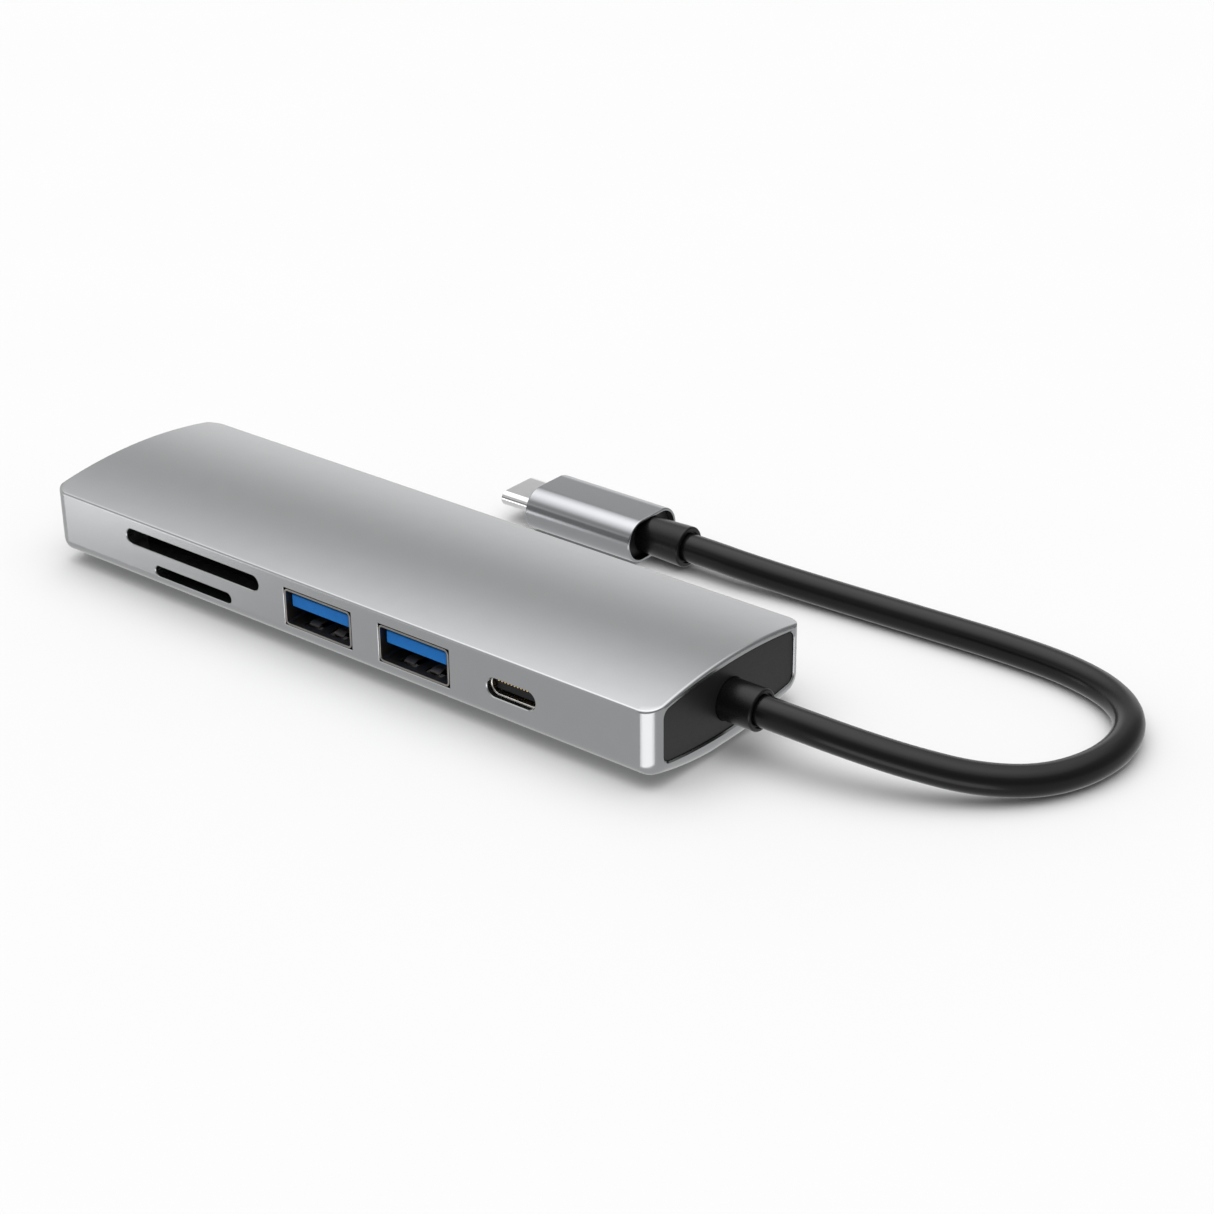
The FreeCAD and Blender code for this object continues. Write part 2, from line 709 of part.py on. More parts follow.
# Middle line of one latch finger: distance behind its tip or root, and share of its lift.
LATCH_ROOT_RUN = 1.0
LATCH_CREST = (0.7, 1.1)
LATCH_TIP_LIFT = 0.15
LATCH_TIP_GAP = 0.5
LATCH_ROOT_GAP = 0.1


def make_usb_a_shell(name, centre):
    shell = new_body(f"{name}_shell")
    outline = new_sketch(shell, "XZ_Plane", cell.hub_width / 2)
    rectangle(outline, centre, cell.usb_z, cell.usb_width, cell.usb_height)
    metal = 2 * cell.sheet_metal
    rectangle(outline, centre, cell.usb_z, cell.usb_width - metal, cell.usb_height - metal)
    pad(shell, outline, cell.usb_depth, back=True)
    outer_reach = float(cell.usb_width) / 2

    def long_edge_at(edge, reach):
        away = abs(edge.CenterOfMass.x - float(centre))
        return edge.BoundBox.YLength > float(cell.usb_depth) / 2 and abs(away - reach) < TOUCH

    def outer_corner(edge):
        return long_edge_at(edge, outer_reach)

    def inner_corner(edge):
        return long_edge_at(edge, outer_reach - float(cell.sheet_metal))

    fillet(shell, cell.usb_corner, outer_corner)
    fillet(shell, cell.usb_corner - cell.sheet_metal, inner_corner)
    feet = new_sketch(shell, "XY_Plane", board_top)
    for sign in (-1, 1):
        foot_x = centre + sign * (cell.usb_width / 2 + cell.foot_offset)
        rectangle(feet, foot_x, front + cell.usb_foot_place, cell.foot_width, cell.usb_foot_length)
    pad(shell, feet, cell.sheet_metal)
    windows = new_sketch(shell, "XY_Plane", cell.usb_z)
    middle = front + cell.spring_window_front + cell.spring_window_length / 2
    for sign in (-1, 1):
        window_x = centre + sign * cell.spring_window_offset
        rectangle(windows, window_x, middle, cell.spring_window_width, cell.spring_window_length)
    pocket(shell, windows, cell.usb_height)
    keep(shell, f"{name}_shell")


def make_usb_a_insulator(name, centre):
    insulator = new_body(f"{name}_insulator")
    back = front + cell.usb_depth
    plate = new_sketch(insulator, "XZ_Plane", -back)
    gap = 2 * (cell.sheet_metal + cell.fit_gap)
    rectangle(plate, centre, cell.usb_z, cell.usb_width - gap, cell.usb_height - gap)
    pad(insulator, plate, cell.insulator_depth)

    def along(edge):
        return edge.BoundBox.YLength > float(cell.insulator_depth) / 2

    fillet(insulator, cell.usb_corner - cell.sheet_metal, along)
    tongue = new_sketch(insulator, "XZ_Plane", -back + cell.insulator_depth)
    tongue_z = cell.usb_z + cell.tongue_thickness / 2
    rectangle(tongue, centre, tongue_z, cell.tongue_width, cell.tongue_thickness)
    pad(insulator, tongue, cell.usb_depth - cell.insulator_depth - cell.tongue_recess)
    grooves = new_sketch(insulator, "XY_Plane", cell.usb_z)
    middle = front + cell.contact_groove_middle
    for offset in CONTACT_OFFSETS:
        rectangle(grooves, centre + offset, middle, cell.contact_groove_width, cell.contact_groove_length)
    pocket(insulator, grooves, cell.contact_groove_depth, back=True)
    keep(insulator, f"{name}_insulator")


def make_usb_a_metal(name, centre):
    """The contacts, their solder tails and the latch fingers of one receptacle."""
    middle_x = float(centre)
    low = float(cell.usb_z)
    line = [(y, low + rise) for y, rise in CONTACT_LINE]
    beams = []
    for offset in CONTACT_OFFSETS:
        beams.append(strip(line, CONTACT_SHEET, CONTACT_WIDTH, "x", middle_x + offset - CONTACT_WIDTH / 2))
    group(f"{name}_contact_springs", beams)

    fixed = []
    for offset in FIXED_OFFSETS:
        fixed.append(solid_box((middle_x + offset, FIXED_PLACE, low - FIXED_SPANS[2] / 2), FIXED_SPANS))
    tail_y = float(front + cell.usb_depth) + TAIL_SPANS[1] / 2
    for offset in TAIL_OFFSETS:
        fixed.append(solid_box((middle_x + offset, tail_y, float(board_top) + TAIL_SPANS[2] / 2), TAIL_SPANS))
    group(f"{name}_terminals", fixed)

    floor = float(cell.usb_z - cell.usb_height / 2 + cell.sheet_metal / 2)
    crest = floor + float(cell.spring_lift)
    root = float(front + cell.spring_window_front + cell.spring_window_length) - LATCH_ROOT_GAP
    tip = float(front + cell.spring_window_front) + LATCH_TIP_GAP
    line = [(root, floor), (root - LATCH_ROOT_RUN, floor), (tip + LATCH_CREST[1], crest),
            (tip + LATCH_CREST[0], crest), (tip, floor + LATCH_TIP_LIFT)]
    thickness, width = float(cell.spring_thickness), float(cell.spring_width)
    fingers = []
    for sign in (-1, 1):
        left = middle_x + sign * float(cell.spring_window_offset) - width / 2
        fingers.append(strip(line, thickness, width, "x", left))
    group(f"{name}_latch_springs", fingers)


def make_usb_a(side, centre):
    name = f"usb_a_{side}"
    make_usb_a_shell(name, centre)
    make_usb_a_insulator(name, centre)
    make_usb_a_metal(name, centre)


# ---------------------------------------------------------------- USB-C receptacle
USB_C_CONTACTS = 12           # on each side of the tongue
USB_C_PAD = (0.28, 4.2, 0.12)
USB_C_PAD_SETBACKS = {1: 0.02, -1: 1.2}    # the upper row reaches the front of the tongue
USB_C_TAIL = (0.26, 0.8, 0.16)


def make_usb_c():
    x, z = cell.usb_c_x, cell.usb_c_z
    mouth = front + cell.usb_c_recess
    shell = new_body("usb_c_shell")
    outline = new_sketch(shell, "XZ_Plane", -mouth)
    metal = 2 * cell.sheet_metal
    stadium(outline, x, z, cell.usb_c_width, cell.usb_c_height)
    stadium(outline, x, z, cell.usb_c_width - metal, cell.usb_c_height - metal)
    pad(shell, outline, cell.usb_c_depth, back=True)
    feet = new_sketch(shell, "XY_Plane", board_top)
    for sign in (-1, 1):
        foot_x = x + sign * (cell.usb_c_width / 2 + cell.foot_offset)
        rectangle(feet, foot_x, mouth + cell.usb_c_foot_place, cell.foot_width, cell.usb_c_foot_length)
    pad(shell, feet, cell.sheet_metal)
    keep(shell, "usb_c_shell")

    insulator = new_body("usb_c_insulator")
    back = mouth + cell.usb_c_depth
    plate = new_sketch(insulator, "XZ_Plane", -back)
    gap = metal + 2 * cell.fit_gap
    stadium(plate, x, z, cell.usb_c_width - gap, cell.usb_c_height - gap)
    pad(insulator, plate, cell.usb_c_back_wall)
    tongue = new_sketch(insulator, "XZ_Plane", -back + cell.usb_c_back_wall)
    rectangle(tongue, x, z, cell.usb_c_tongue_width, cell.usb_c_tongue_thickness)
    pad(insulator, tongue, cell.usb_c_depth - cell.usb_c_back_wall - cell.usb_c_tongue_recess)
    keep(insulator, "usb_c_insulator")

    pads = []
    pad_y = float(mouth + cell.usb_c_tongue_recess) + USB_C_PAD[1] / 2
    level = (float(cell.usb_c_tongue_thickness) + USB_C_PAD[2]) / 2
    tail_y = float(back) + USB_C_TAIL[1] / 2
    for index in range(USB_C_CONTACTS):
        place = float(x) + (index - (USB_C_CONTACTS - 1) / 2) * float(cell.usb_c_contact_pitch)
        for sign, setback in USB_C_PAD_SETBACKS.items():
            pads.append(solid_box((place, pad_y + setback, float(z) + sign * level), USB_C_PAD))
        pads.append(solid_box((place, tail_y, float(board_top) + USB_C_TAIL[2] / 2), USB_C_TAIL))
    group("usb_c_contacts", pads)


# ---------------------------------------------------------------- card sockets
SD_CONTACTS = 9
SD_PITCH = 2.5
SD_SPRING_SHEET = 0.15
SD_SPRING_WIDTH = 1.2
# Middle line of one spring: place along Y, and height over the channel's floor.
SD_SPRING_LINE = [(8.9, 0.15), (5.5, 0.55), (3.9, 0.8), (3.1, 0.5)]
SD_TAIL_PLACE = 11.4
SD_TAIL_LENGTH = 4.6
# Middle line of the card-detect lever: offset along X from its channel, and place along Y.
SD_LEVER_OFFSET = 12.15
SD_LEVER_LINE = [(0.9, 10.7), (0.3, 7.5), (-0.5, 5.6), (0.1, 4.7)]
SD_LEVER_SHEET = 0.2
SD_LEVER_HEIGHT = 1.4
SD_LEVER_LIFT = 0.3
MICRO_CONTACTS = 8
MICRO_PITCH = 1.1
MICRO_SHEET = 0.12
MICRO_WIDTH = 0.7
MICRO_ROOT = 10.6
# Middle line of one spring: run forward from its root, and depth under the frame's roof.
MICRO_SPRING_LINE = [(0.0, 0.15), (2.5, 0.45), (3.8, 0.7), (4.5, 0.45)]
MICRO_TAIL_LENGTH = 2.6
MICRO_TAIL_GAP = 0.15


def make_sd_socket():
    x = cell.sd_x
    mouth = inner_front + cell.socket_setback
    frame_top = board_top + cell.sd_frame_height
    body = new_body("sd_socket_frame")
    outline = new_sketch(body, "XY_Plane", board_top)
    rectangle(outline, x, mouth + cell.sd_frame_depth / 2, cell.sd_frame_width, cell.sd_frame_depth)
    pad(body, outline, cell.sd_frame_height)
    floor = board_top + cell.sd_floor
    channel = new_sketch(body, "XY_Plane", frame_top)
    depth = cell.sd_frame_depth - cell.sd_back_wall
    rectangle(channel, x, mouth + depth / 2, cell.sd_card_width, depth)
    pocket(body, channel, cell.sd_frame_height - cell.sd_floor)
    lever_room = new_sketch(body, "XY_Plane", frame_top)
    room = (cell.sd_lever_room_width, cell.sd_lever_room_length)
    rectangle(lever_room, x + cell.sd_lever_offset, cell.sd_lever_place, *room)
    pocket(body, lever_room, cell.sd_frame_height - cell.sd_floor)
    tail_slot = new_sketch(body, "XZ_Plane", -mouth - cell.sd_frame_depth)
    slot_z = floor + cell.sd_tail_slot_height / 2
    rectangle(tail_slot, x, slot_z, cell.sd_tail_slot_width, cell.sd_tail_slot_height)
    pocket(body, tail_slot, cell.sd_back_wall + cell.cover_back_gap, back=True)
    keep(body, "sd_socket_frame")

    cover = new_body("sd_socket_cover")
    plate = new_sketch(cover, "XY_Plane", frame_top)
    depth = cell.sd_frame_depth - cell.cover_back_gap
    rectangle(plate, x, mouth + cell.sd_frame_depth / 2, cell.sd_frame_width, depth)
    pad(cover, plate, cell.cover_sheet)
    slots = new_sketch(cover, "XY_Plane", frame_top + cell.cover_sheet)
    slot = (cell.sd_cover_slot_width, cell.sd_cover_slot_length)
    for sign in (-1, 1):
        rectangle(slots, x + sign * cell.sd_cover_slot_offset, cell.sd_cover_slot_place, *slot)
    pocket(cover, slots, cell.cover_sheet)
    keep(cover, "sd_socket_cover")

    base = float(floor)
    line = [(y, base + rise) for y, rise in SD_SPRING_LINE]
    tail_spans = (SD_SPRING_WIDTH, SD_TAIL_LENGTH, SD_SPRING_SHEET)
    tail_z = base + SD_SPRING_LINE[0][1]
    springs = []
    tails = []
    for index in range(SD_CONTACTS):
        middle = float(x) + (index - (SD_CONTACTS - 1) / 2) * SD_PITCH
        springs.append(strip(line, SD_SPRING_SHEET, SD_SPRING_WIDTH, "x", middle - SD_SPRING_WIDTH / 2))
        tails.append(solid_box((middle, SD_TAIL_PLACE, tail_z), tail_spans))
    group("sd_contact_springs", springs)
    group("sd_terminals", tails)
    lever_x = float(x) + SD_LEVER_OFFSET
    line = [(lever_x + offset, y) for offset, y in SD_LEVER_LINE]
    lever = document.addObject("Part::Feature", "sd_detect_lever")
    lever.Shape = strip(line, SD_LEVER_SHEET, SD_LEVER_HEIGHT, "z", base + SD_LEVER_LIFT)
    keep(lever, "sd_detect_lever")


def make_micro_socket():
    x = cell.micro_x
    mouth = inner_front + cell.micro_setback
    top = cell.board_bottom
    middle_y = mouth + cell.micro_frame_depth / 2
    body = new_body("microsd_socket_frame")
    outline = new_sketch(body, "XY_Plane", top - cell.micro_frame_height)
    rectangle(outline, x, middle_y, cell.micro_frame_width, cell.micro_frame_depth)
    pad(body, outline, cell.micro_frame_height)
    channel = new_sketch(body, "XY_Plane", top - cell.micro_frame_height)
    depth = cell.micro_frame_depth - cell.micro_back_wall
    rectangle(channel, x, mouth + depth / 2, cell.micro_card_width, depth)
    pocket(body, channel, cell.micro_frame_height - cell.micro_floor, back=True)
    keep(body, "microsd_socket_frame")

    cover = new_body("microsd_socket_cover")
    plate = new_sketch(cover, "XY_Plane", top - cell.micro_frame_height - cell.cover_sheet)
    rectangle(plate, x, middle_y, cell.micro_frame_width, cell.micro_frame_depth - cell.cover_back_gap)
    pad(cover, plate, cell.cover_sheet)
    keep(cover, "microsd_socket_cover")

    roof = float(top - cell.micro_floor)
    root = float(mouth) + MICRO_ROOT
    line = [(root - run, roof - depth) for run, depth in MICRO_SPRING_LINE]
    tail_y = root + MICRO_TAIL_GAP + MICRO_TAIL_LENGTH / 2
    tail_z = roof - MICRO_SPRING_LINE[0][1]
    tail_spans = (MICRO_WIDTH, MICRO_TAIL_LENGTH, MICRO_SHEET)
    springs = []
    tails = []
    for index in range(MICRO_CONTACTS):
        middle = float(x) + (index - (MICRO_CONTACTS - 1) / 2) * MICRO_PITCH
        springs.append(strip(line, MICRO_SHEET, MICRO_WIDTH, "x", middle - MICRO_WIDTH / 2))
        tails.append(solid_box((middle, tail_y, tail_z), tail_spans))
    group("microsd_contact_springs", springs)
    group("microsd_terminals", tails)


# ---------------------------------------------------------------- HDMI receptacle
HDMI_CONTACTS = 19
HDMI_PITCH = 0.5
HDMI_PAD = (6.0, 0.35, 0.08)
HDMI_PAD_PLACE = 4.6
# Middle line of one latch finger: run forward from its root, and depth under the shell's roof.
HDMI_LATCH_LINE = [(0.0, 0.0), (1.0, 0.0), (4.4, 0.4), (5.3, 0.1)]
HDMI_LATCH_ROOT = 8.9
HDMI_LATCH_SHEET = 0.22
HDMI_LATCH_WIDTH = 1.6


def hdmi_outline(sketch, grow):
    """The socket's outline: wide above, with its two lower corners cut off."""
    wide = cell.hdmi_width / 2 + grow
    high = cell.hdmi_z + cell.hdmi_height / 2 + grow
    low = cell.hdmi_z - cell.hdmi_height / 2 - grow
    corner = cell.hdmi_corner
    knee = low + cell.hdmi_knee_run * corner
    foot = wide - corner - cell.hdmi_knee_run
    shoulder = low + corner + cell.hdmi_knee_drop
    polygon(sketch, [(-wide, high), (-wide, shoulder), (-wide + corner, knee), (-foot, low), (foot, low),
                     (wide - corner, knee), (wide, shoulder), (wide, high)])


def make_hdmi():
    mouth = -cap_face
    shell = new_body("hdmi_shell")
    outline = new_sketch(shell, "YZ_Plane", mouth)
    hdmi_outline(outline, 0)
    hdmi_outline(outline, -cell.sheet_metal)
    pad(shell, outline, cell.hdmi_depth)
    windows = new_sketch(shell, "XY_Plane", cell.hdmi_z + cell.hdmi_height / 2)
    window = (cell.hdmi_window_length, cell.hdmi_window_width)
    for sign in (-1, 1):
        rectangle(windows, mouth + cell.hdmi_window_place, sign * cell.hdmi_window_offset, *window)
    pocket(shell, windows, cell.hdmi_height / 2)
    feet = new_sketch(shell, "XY_Plane", board_top)
    for sign in (-1, 1):
        foot_y = sign * (cell.hdmi_width / 2 + cell.foot_offset)
        rectangle(feet, mouth + cell.hdmi_foot_place, foot_y, cell.hdmi_foot_length, cell.foot_width)
    pad(shell, feet, cell.sheet_metal)
    keep(shell, "hdmi_shell")

    insulator = new_body("hdmi_insulator")
    plate = new_sketch(insulator, "YZ_Plane", mouth + cell.hdmi_depth - cell.hdmi_back_wall)
    hdmi_outline(plate, -cell.sheet_metal - cell.fit_gap)
    pad(insulator, plate, cell.hdmi_back_wall)
    tongue = new_sketch(insulator, "YZ_Plane", mouth + cell.hdmi_tongue_recess)
    tongue_z = cell.hdmi_z + cell.hdmi_tongue_lift
    rectangle(tongue, 0, tongue_z, cell.hdmi_tongue_width, cell.hdmi_tongue_thickness)
    pad(insulator, tongue, cell.hdmi_depth - cell.hdmi_tongue_recess - cell.hdmi_back_wall)
    keep(insulator, "hdmi_insulator")

    pads = []
    pad_x = float(mouth) + HDMI_PAD_PLACE
    level = (float(cell.hdmi_tongue_thickness) + HDMI_PAD[2]) / 2
    for index in range(HDMI_CONTACTS):
        side = 1 if index % 2 == 0 else -1
        y = (index - (HDMI_CONTACTS - 1) / 2) * HDMI_PITCH
        pads.append(solid_box((pad_x, y, float(tongue_z) + side * level), HDMI_PAD))
    group("hdmi_contacts", pads)

    ceiling = float(cell.hdmi_z + cell.hdmi_height / 2 - cell.sheet_metal / 2)
    root = float(mouth) + HDMI_LATCH_ROOT
    line = [(root - run, ceiling - depth) for run, depth in HDMI_LATCH_LINE]
    fingers = []
    for sign in (-1, 1):
        start = sign * float(cell.hdmi_window_offset) - HDMI_LATCH_WIDTH / 2
        fingers.append(strip(line, HDMI_LATCH_SHEET, HDMI_LATCH_WIDTH, "y", start))
    group("hdmi_latch_springs", fingers)


# ---------------------------------------------------------------- lead
# Corners of the lead's route, from the collar of the hub to the collar of the plug.
LEAD_ROUTE = [
    (63.3, 0.0, 7.25),
    (69.5, 0.0, 7.25),
    (76.9, 1.2, 6.4),
    (84.8, 3.8, 5.0),
    (92.3, 7.8, 3.4),
    (98.2, 13.5, 2.5),
    (101.5, 20.7, 2.3),
    (102.1, 28.4, 2.3),
    (99.7, 35.5, 2.3),
    (94.3, 40.6, 2.3),
    (85.8, 43.3, 2.3),
    (74.1, 43.7, 2.3),
    (59.4, 43.0, 2.3),
    (41.5, 42.0, 2.4),
    (31.0, 40.4, 3.3),
    (25.5, 40.3, 3.53),
    (20.4, 40.3, 3.53),
]


TANGENT_SHARE = 0.45          # share of the shorter run that an arc uses up
VOLUME_TOLERANCE = 0.002


def lead_path(corners):
    """Straight runs joined by tangent arcs, each as large as its two runs allow."""
    points = [Vector(*corner) for corner in corners]
    edges = []
    radii = []
    previous = points[0]
    for before, here, after in zip(points, points[1:], points[2:]):
        inward = (here - before).normalize()
        outward = (after - here).normalize()
        turn = inward.getAngle(outward)
        tangent = TANGENT_SHARE * min((here - before).Length, (after - here).Length)
        radius = tangent / math.tan(turn / 2)
        radii.append(radius)
        start = here - inward * tangent
        end = here + outward * tangent
        bisector = (outward - inward).normalize()
        centre = here + bisector * (radius / math.cos(turn / 2))
        middle = centre - bisector * radius
        edges.append(Part.LineSegment(previous, start).toShape())
        edges.append(Part.Arc(start, middle, end).toShape())
        previous = end
    edges.append(Part.LineSegment(previous, points[-1]).toShape())
    return Part.Wire(edges), radii


def make_lead():
    radius = float(cell.lead_width) / 2
    path, radii = lead_path(LEAD_ROUTE)
    start = Vector(*LEAD_ROUTE[0])
    heading = Vector(*LEAD_ROUTE[1]) - start
    section = Part.Wire(Part.makeCircle(radius, start, heading))
    tube = path.makePipeShell([section], True, False, 2)
    expected = math.pi * radius ** 2 * path.Length
    print("lead radii", [round(value, 1) for value in radii])
    print("lead length", round(path.Length, 1), "volume / expected", round(tube.Volume / expected, 5))
    lowest = min(corner[2] for corner in LEAD_ROUTE) - radius
    if abs(tube.Volume / expected - 1) > VOLUME_TOLERANCE or lowest < 0:
        raise RuntimeError("the lead is not the tube that its route describes")
    lead = document.addObject("Part::Feature", "lead_jacket")
    lead.Shape = tube
    keep(lead, "lead_jacket")


def make_collar(label, axis_y, axis_z, profile, seat_depth):
    """A round strain relief: profile is (x, radius) steps, with a seat for the lead in its outer end."""
    body = new_body(label)
    body.newObject("Sketcher::SketchObject", f"{label}_sketch")
    sketch = body.Group[-1]
    sketch.AttachmentSupport = (origin_plane(body, "XZ_Plane"), [""])
    sketch.MapMode = "FlatFace"
    bind(sketch, "AttachmentOffset.Base.z", -axis_y)
    corners = [(profile[0][0], axis_z)]
    corners += [(x, axis_z + radius) for x, radius in profile]
    end = profile[-1][0]
    seat_top = axis_z + cell.lead_seat_width / 2
    corners += [(end, seat_top), (end - seat_depth, seat_top), (end - seat_depth, axis_z)]
    polygon(sketch, corners)
    axis = body.newObject("PartDesign::Line", f"{label}_axis")
    bind(axis, "Placement.Base.y", axis_y)
    bind(axis, "Placement.Base.z", axis_z)
    axis.Placement.Rotation = Rotation(Vector(0, 1, 0), 90)
    turned = body.newObject("PartDesign::Revolution", f"{label}_turned")
    turned.Profile = sketch
    turned.ReferenceAxis = (axis, [""])
    turned.Angle = 360
    return keep(body, label)


def make_collars():
    inner = cap_face - cell.cap_thickness
    flange, width = cell.collar_flange / 2, cell.collar_width / 2
    ease = cell.collar_ease
    profile = [(inner - cell.collar_flange_depth, flange), (inner, flange), (inner, width),
               (cell.collar_reach - ease, width), (cell.collar_reach, width - ease)]
    make_collar("hub_strain_relief", as_size(0), mid_height, profile, cell.lead_seat)
    core_back = cell.plug_back_x - cell.plug_rear_recess
    root, width = cell.plug_root_width / 2, cell.plug_collar_width / 2
    end_width = cell.plug_collar_end_width / 2
    profile = [(core_back - cell.plug_root_length, root), (core_back, root), (core_back, width),
               (cell.plug_collar_reach - ease, end_width), (cell.plug_collar_reach, end_width - ease)]
    make_collar("plug_strain_relief", cell.plug_y, cell.plug_z, profile, cell.lead_seat)


WIRES = 6
WIRE_PITCH = 1.15
WIRE_LENGTH = 5.2
SOLDER_SPANS = (1.2, 0.8, 0.5)


def make_wires():
    """The lead's six conductors where they leave the strain relief for the board, and their solder."""
    end = float(cap_face - cell.cap_thickness - cell.collar_flange_depth)
    radius = float(cell.wire_width) / 2
    level = float(board_top) + radius
    start = end - WIRE_LENGTH
    solder_x = start - SOLDER_SPANS[0] / 2
    solder_z = float(board_top) + SOLDER_SPANS[2] / 2
    wires = []
    solder = []
    for index in range(WIRES):
        y = (index - (WIRES - 1) / 2) * WIRE_PITCH
        wires.append(Part.makeCylinder(radius, WIRE_LENGTH, Vector(start, y, level), Vector(1, 0, 0)))
        solder.append(solid_box((solder_x, y, solder_z), SOLDER_SPANS))
    group("lead_wires", wires)
    group("wire_solder", solder)


# ---------------------------------------------------------------- plug
TIP_CONTACTS = 12             # on each side of the plug's slot
TIP_PITCH = 0.5
TIP_PAD = (4.4, 0.25, 0.06)
TIP_PAD_PLACE = 4.0
TIP_PAD_LEVEL = 0.42
# Middle line of one side latch: distance behind the tip's mouth, and offset from the tip's middle.
TIP_LATCH_LINE = [(6.2, 3.42), (2.8, 3.34), (1.6, 3.12), (0.9, 3.36)]
TIP_LATCH_SHEET = 0.12
TIP_LATCH_HEIGHT = 0.5
PLUG_CARD_SPANS = (13.4, 8.4, 0.8)
PLUG_CARD_PLACE = 8.2
PLUG_CHIP_SPANS = (3.0, 3.0, 0.7)
PLUG_CHIP_PLACE = 9.0


def make_plug_mould(label, side):
    """One half of the moulding inside the plug's sleeve; side is +1 for the upper half."""
    y, z = cell.plug_y, cell.plug_z
    start = cell.plug_front_x + cell.plug_front_recess
    back = cell.plug_back_x - cell.plug_rear_recess
    width = cell.plug_width - 2 * cell.plug_wall
    height = cell.plug_height - 2 * cell.plug_wall
    gap = 2 * cell.fit_gap
    mould = new_body(label)
    outline = new_sketch(mould, "YZ_Plane", start)
    stadium(outline, y, z, width - gap, height - gap)
    pad(mould, outline, back - start)
    other_half = new_sketch(mould, "YZ_Plane", start)
    rectangle(other_half, y, z - side * height / 2, width + 2 * CUT_THROUGH, height)
    pocket(mould, other_half, back - start, back=True)
    card_space = new_sketch(mould, "YZ_Plane", start + cell.card_space_start)
    rectangle(card_space, y, z, cell.card_space_width, cell.card_space_height)
    depth = back - start - cell.card_space_start - cell.card_space_end_wall
    pocket(mould, card_space, depth, back=True)
    tip_hole = new_sketch(mould, "YZ_Plane", start)
    stadium(tip_hole, y, z, cell.tip_width + cell.tip_hole_play, cell.tip_height + cell.tip_hole_play)
    pocket(mould, tip_hole, cell.tip_hole_depth, back=True)
    root_depth = cell.plug_root_length + cell.plug_root_end_play
    collar_hole = new_sketch(mould, "YZ_Plane", back - root_depth)
    circle(collar_hole, y, z, cell.plug_root_width / 2 + cell.plug_root_play)
    pocket(mould, collar_hole, root_depth, back=True)
    keep(mould, label)


def make_plug_tip():
    y, z = cell.plug_y, cell.plug_z
    tip = cell.plug_front_x - cell.tip_reach
    wall = 2 * cell.tip_wall
    shell = new_body("plug_tip_shell")
    outline = new_sketch(shell, "YZ_Plane", tip)
    stadium(outline, y, z, cell.tip_width, cell.tip_height)
    stadium(outline, y, z, cell.tip_width - wall, cell.tip_height - wall)
    pad(shell, outline, cell.tip_reach + cell.tip_root)
    keep(shell, "plug_tip_shell")

    insulator = new_body("plug_tip_insulator")
    recess = cell.tip_insulator_recess
    outline = new_sketch(insulator, "YZ_Plane", tip + recess)
    shrink = wall + cell.tip_insulator_play
    stadium(outline, y, z, cell.tip_width - shrink, cell.tip_height - shrink)
    pad(insulator, outline, cell.tip_reach + cell.tip_root - cell.tip_insulator_recess)
    slot = new_sketch(insulator, "YZ_Plane", tip + recess)
    rectangle(slot, y, z, cell.tip_slot_width, cell.tip_slot_height)
    pocket(insulator, slot, cell.tip_slot_depth, back=True)
    keep(insulator, "plug_tip_insulator")

    front_x, mid_y, mid_z = float(tip), float(y), float(z)
    contacts = []
    for index in range(TIP_CONTACTS):
        place = mid_y + (index - (TIP_CONTACTS - 1) / 2) * TIP_PITCH
        for sign in (-1, 1):
            middle = (front_x + TIP_PAD_PLACE, place, mid_z + sign * TIP_PAD_LEVEL)
            contacts.append(solid_box(middle, TIP_PAD))
    group("plug_contacts", contacts)

    for label, sign in (("plug_latch_front", -1), ("plug_latch_rear", 1)):
        line = [(front_x + x, mid_y + sign * offset) for x, offset in TIP_LATCH_LINE]
        latch = document.addObject("Part::Feature", label)
        latch.Shape = strip(line, TIP_LATCH_SHEET, TIP_LATCH_HEIGHT, "z", mid_z - TIP_LATCH_HEIGHT / 2)
        keep(latch, label)


def make_plug():
    y, z = cell.plug_y, cell.plug_z
    sleeve = new_body("plug_sleeve")
    outline = new_sketch(sleeve, "YZ_Plane", cell.plug_front_x)
    wall = 2 * cell.plug_wall
    stadium(outline, y, z, cell.plug_width, cell.plug_height)
    stadium(outline, y, z, cell.plug_width - wall, cell.plug_height - wall)
    pad(sleeve, outline, cell.plug_back_x - cell.plug_front_x)
    keep(sleeve, "plug_sleeve")

    make_plug_mould("plug_mould_lower", -1)
    make_plug_mould("plug_mould_upper", 1)
    make_plug_tip()

    start = cell.plug_front_x + cell.plug_front_recess
    card = block("plug_card", (start + PLUG_CARD_PLACE, y, z), PLUG_CARD_SPANS)
    keep(card, "plug_card")
    chip_z = z + (PLUG_CARD_SPANS[2] + PLUG_CHIP_SPANS[2]) / 2
    chip = block("plug_chip", (start + PLUG_CHIP_PLACE, y, chip_z), PLUG_CHIP_SPANS)
    keep(chip, "plug_chip")


# ---------------------------------------------------------------- assembly and export
make_housing()
make_cap("end_cap_lead", 1)
make_cap("end_cap_hdmi", -1)
make_board()
make_chips()
for side, centre in usb_centres.items():
    make_usb_a(side, centre)
make_usb_c()
make_sd_socket()
make_micro_socket()
make_hdmi()
make_collars()
make_lead()
make_wires()
make_plug()

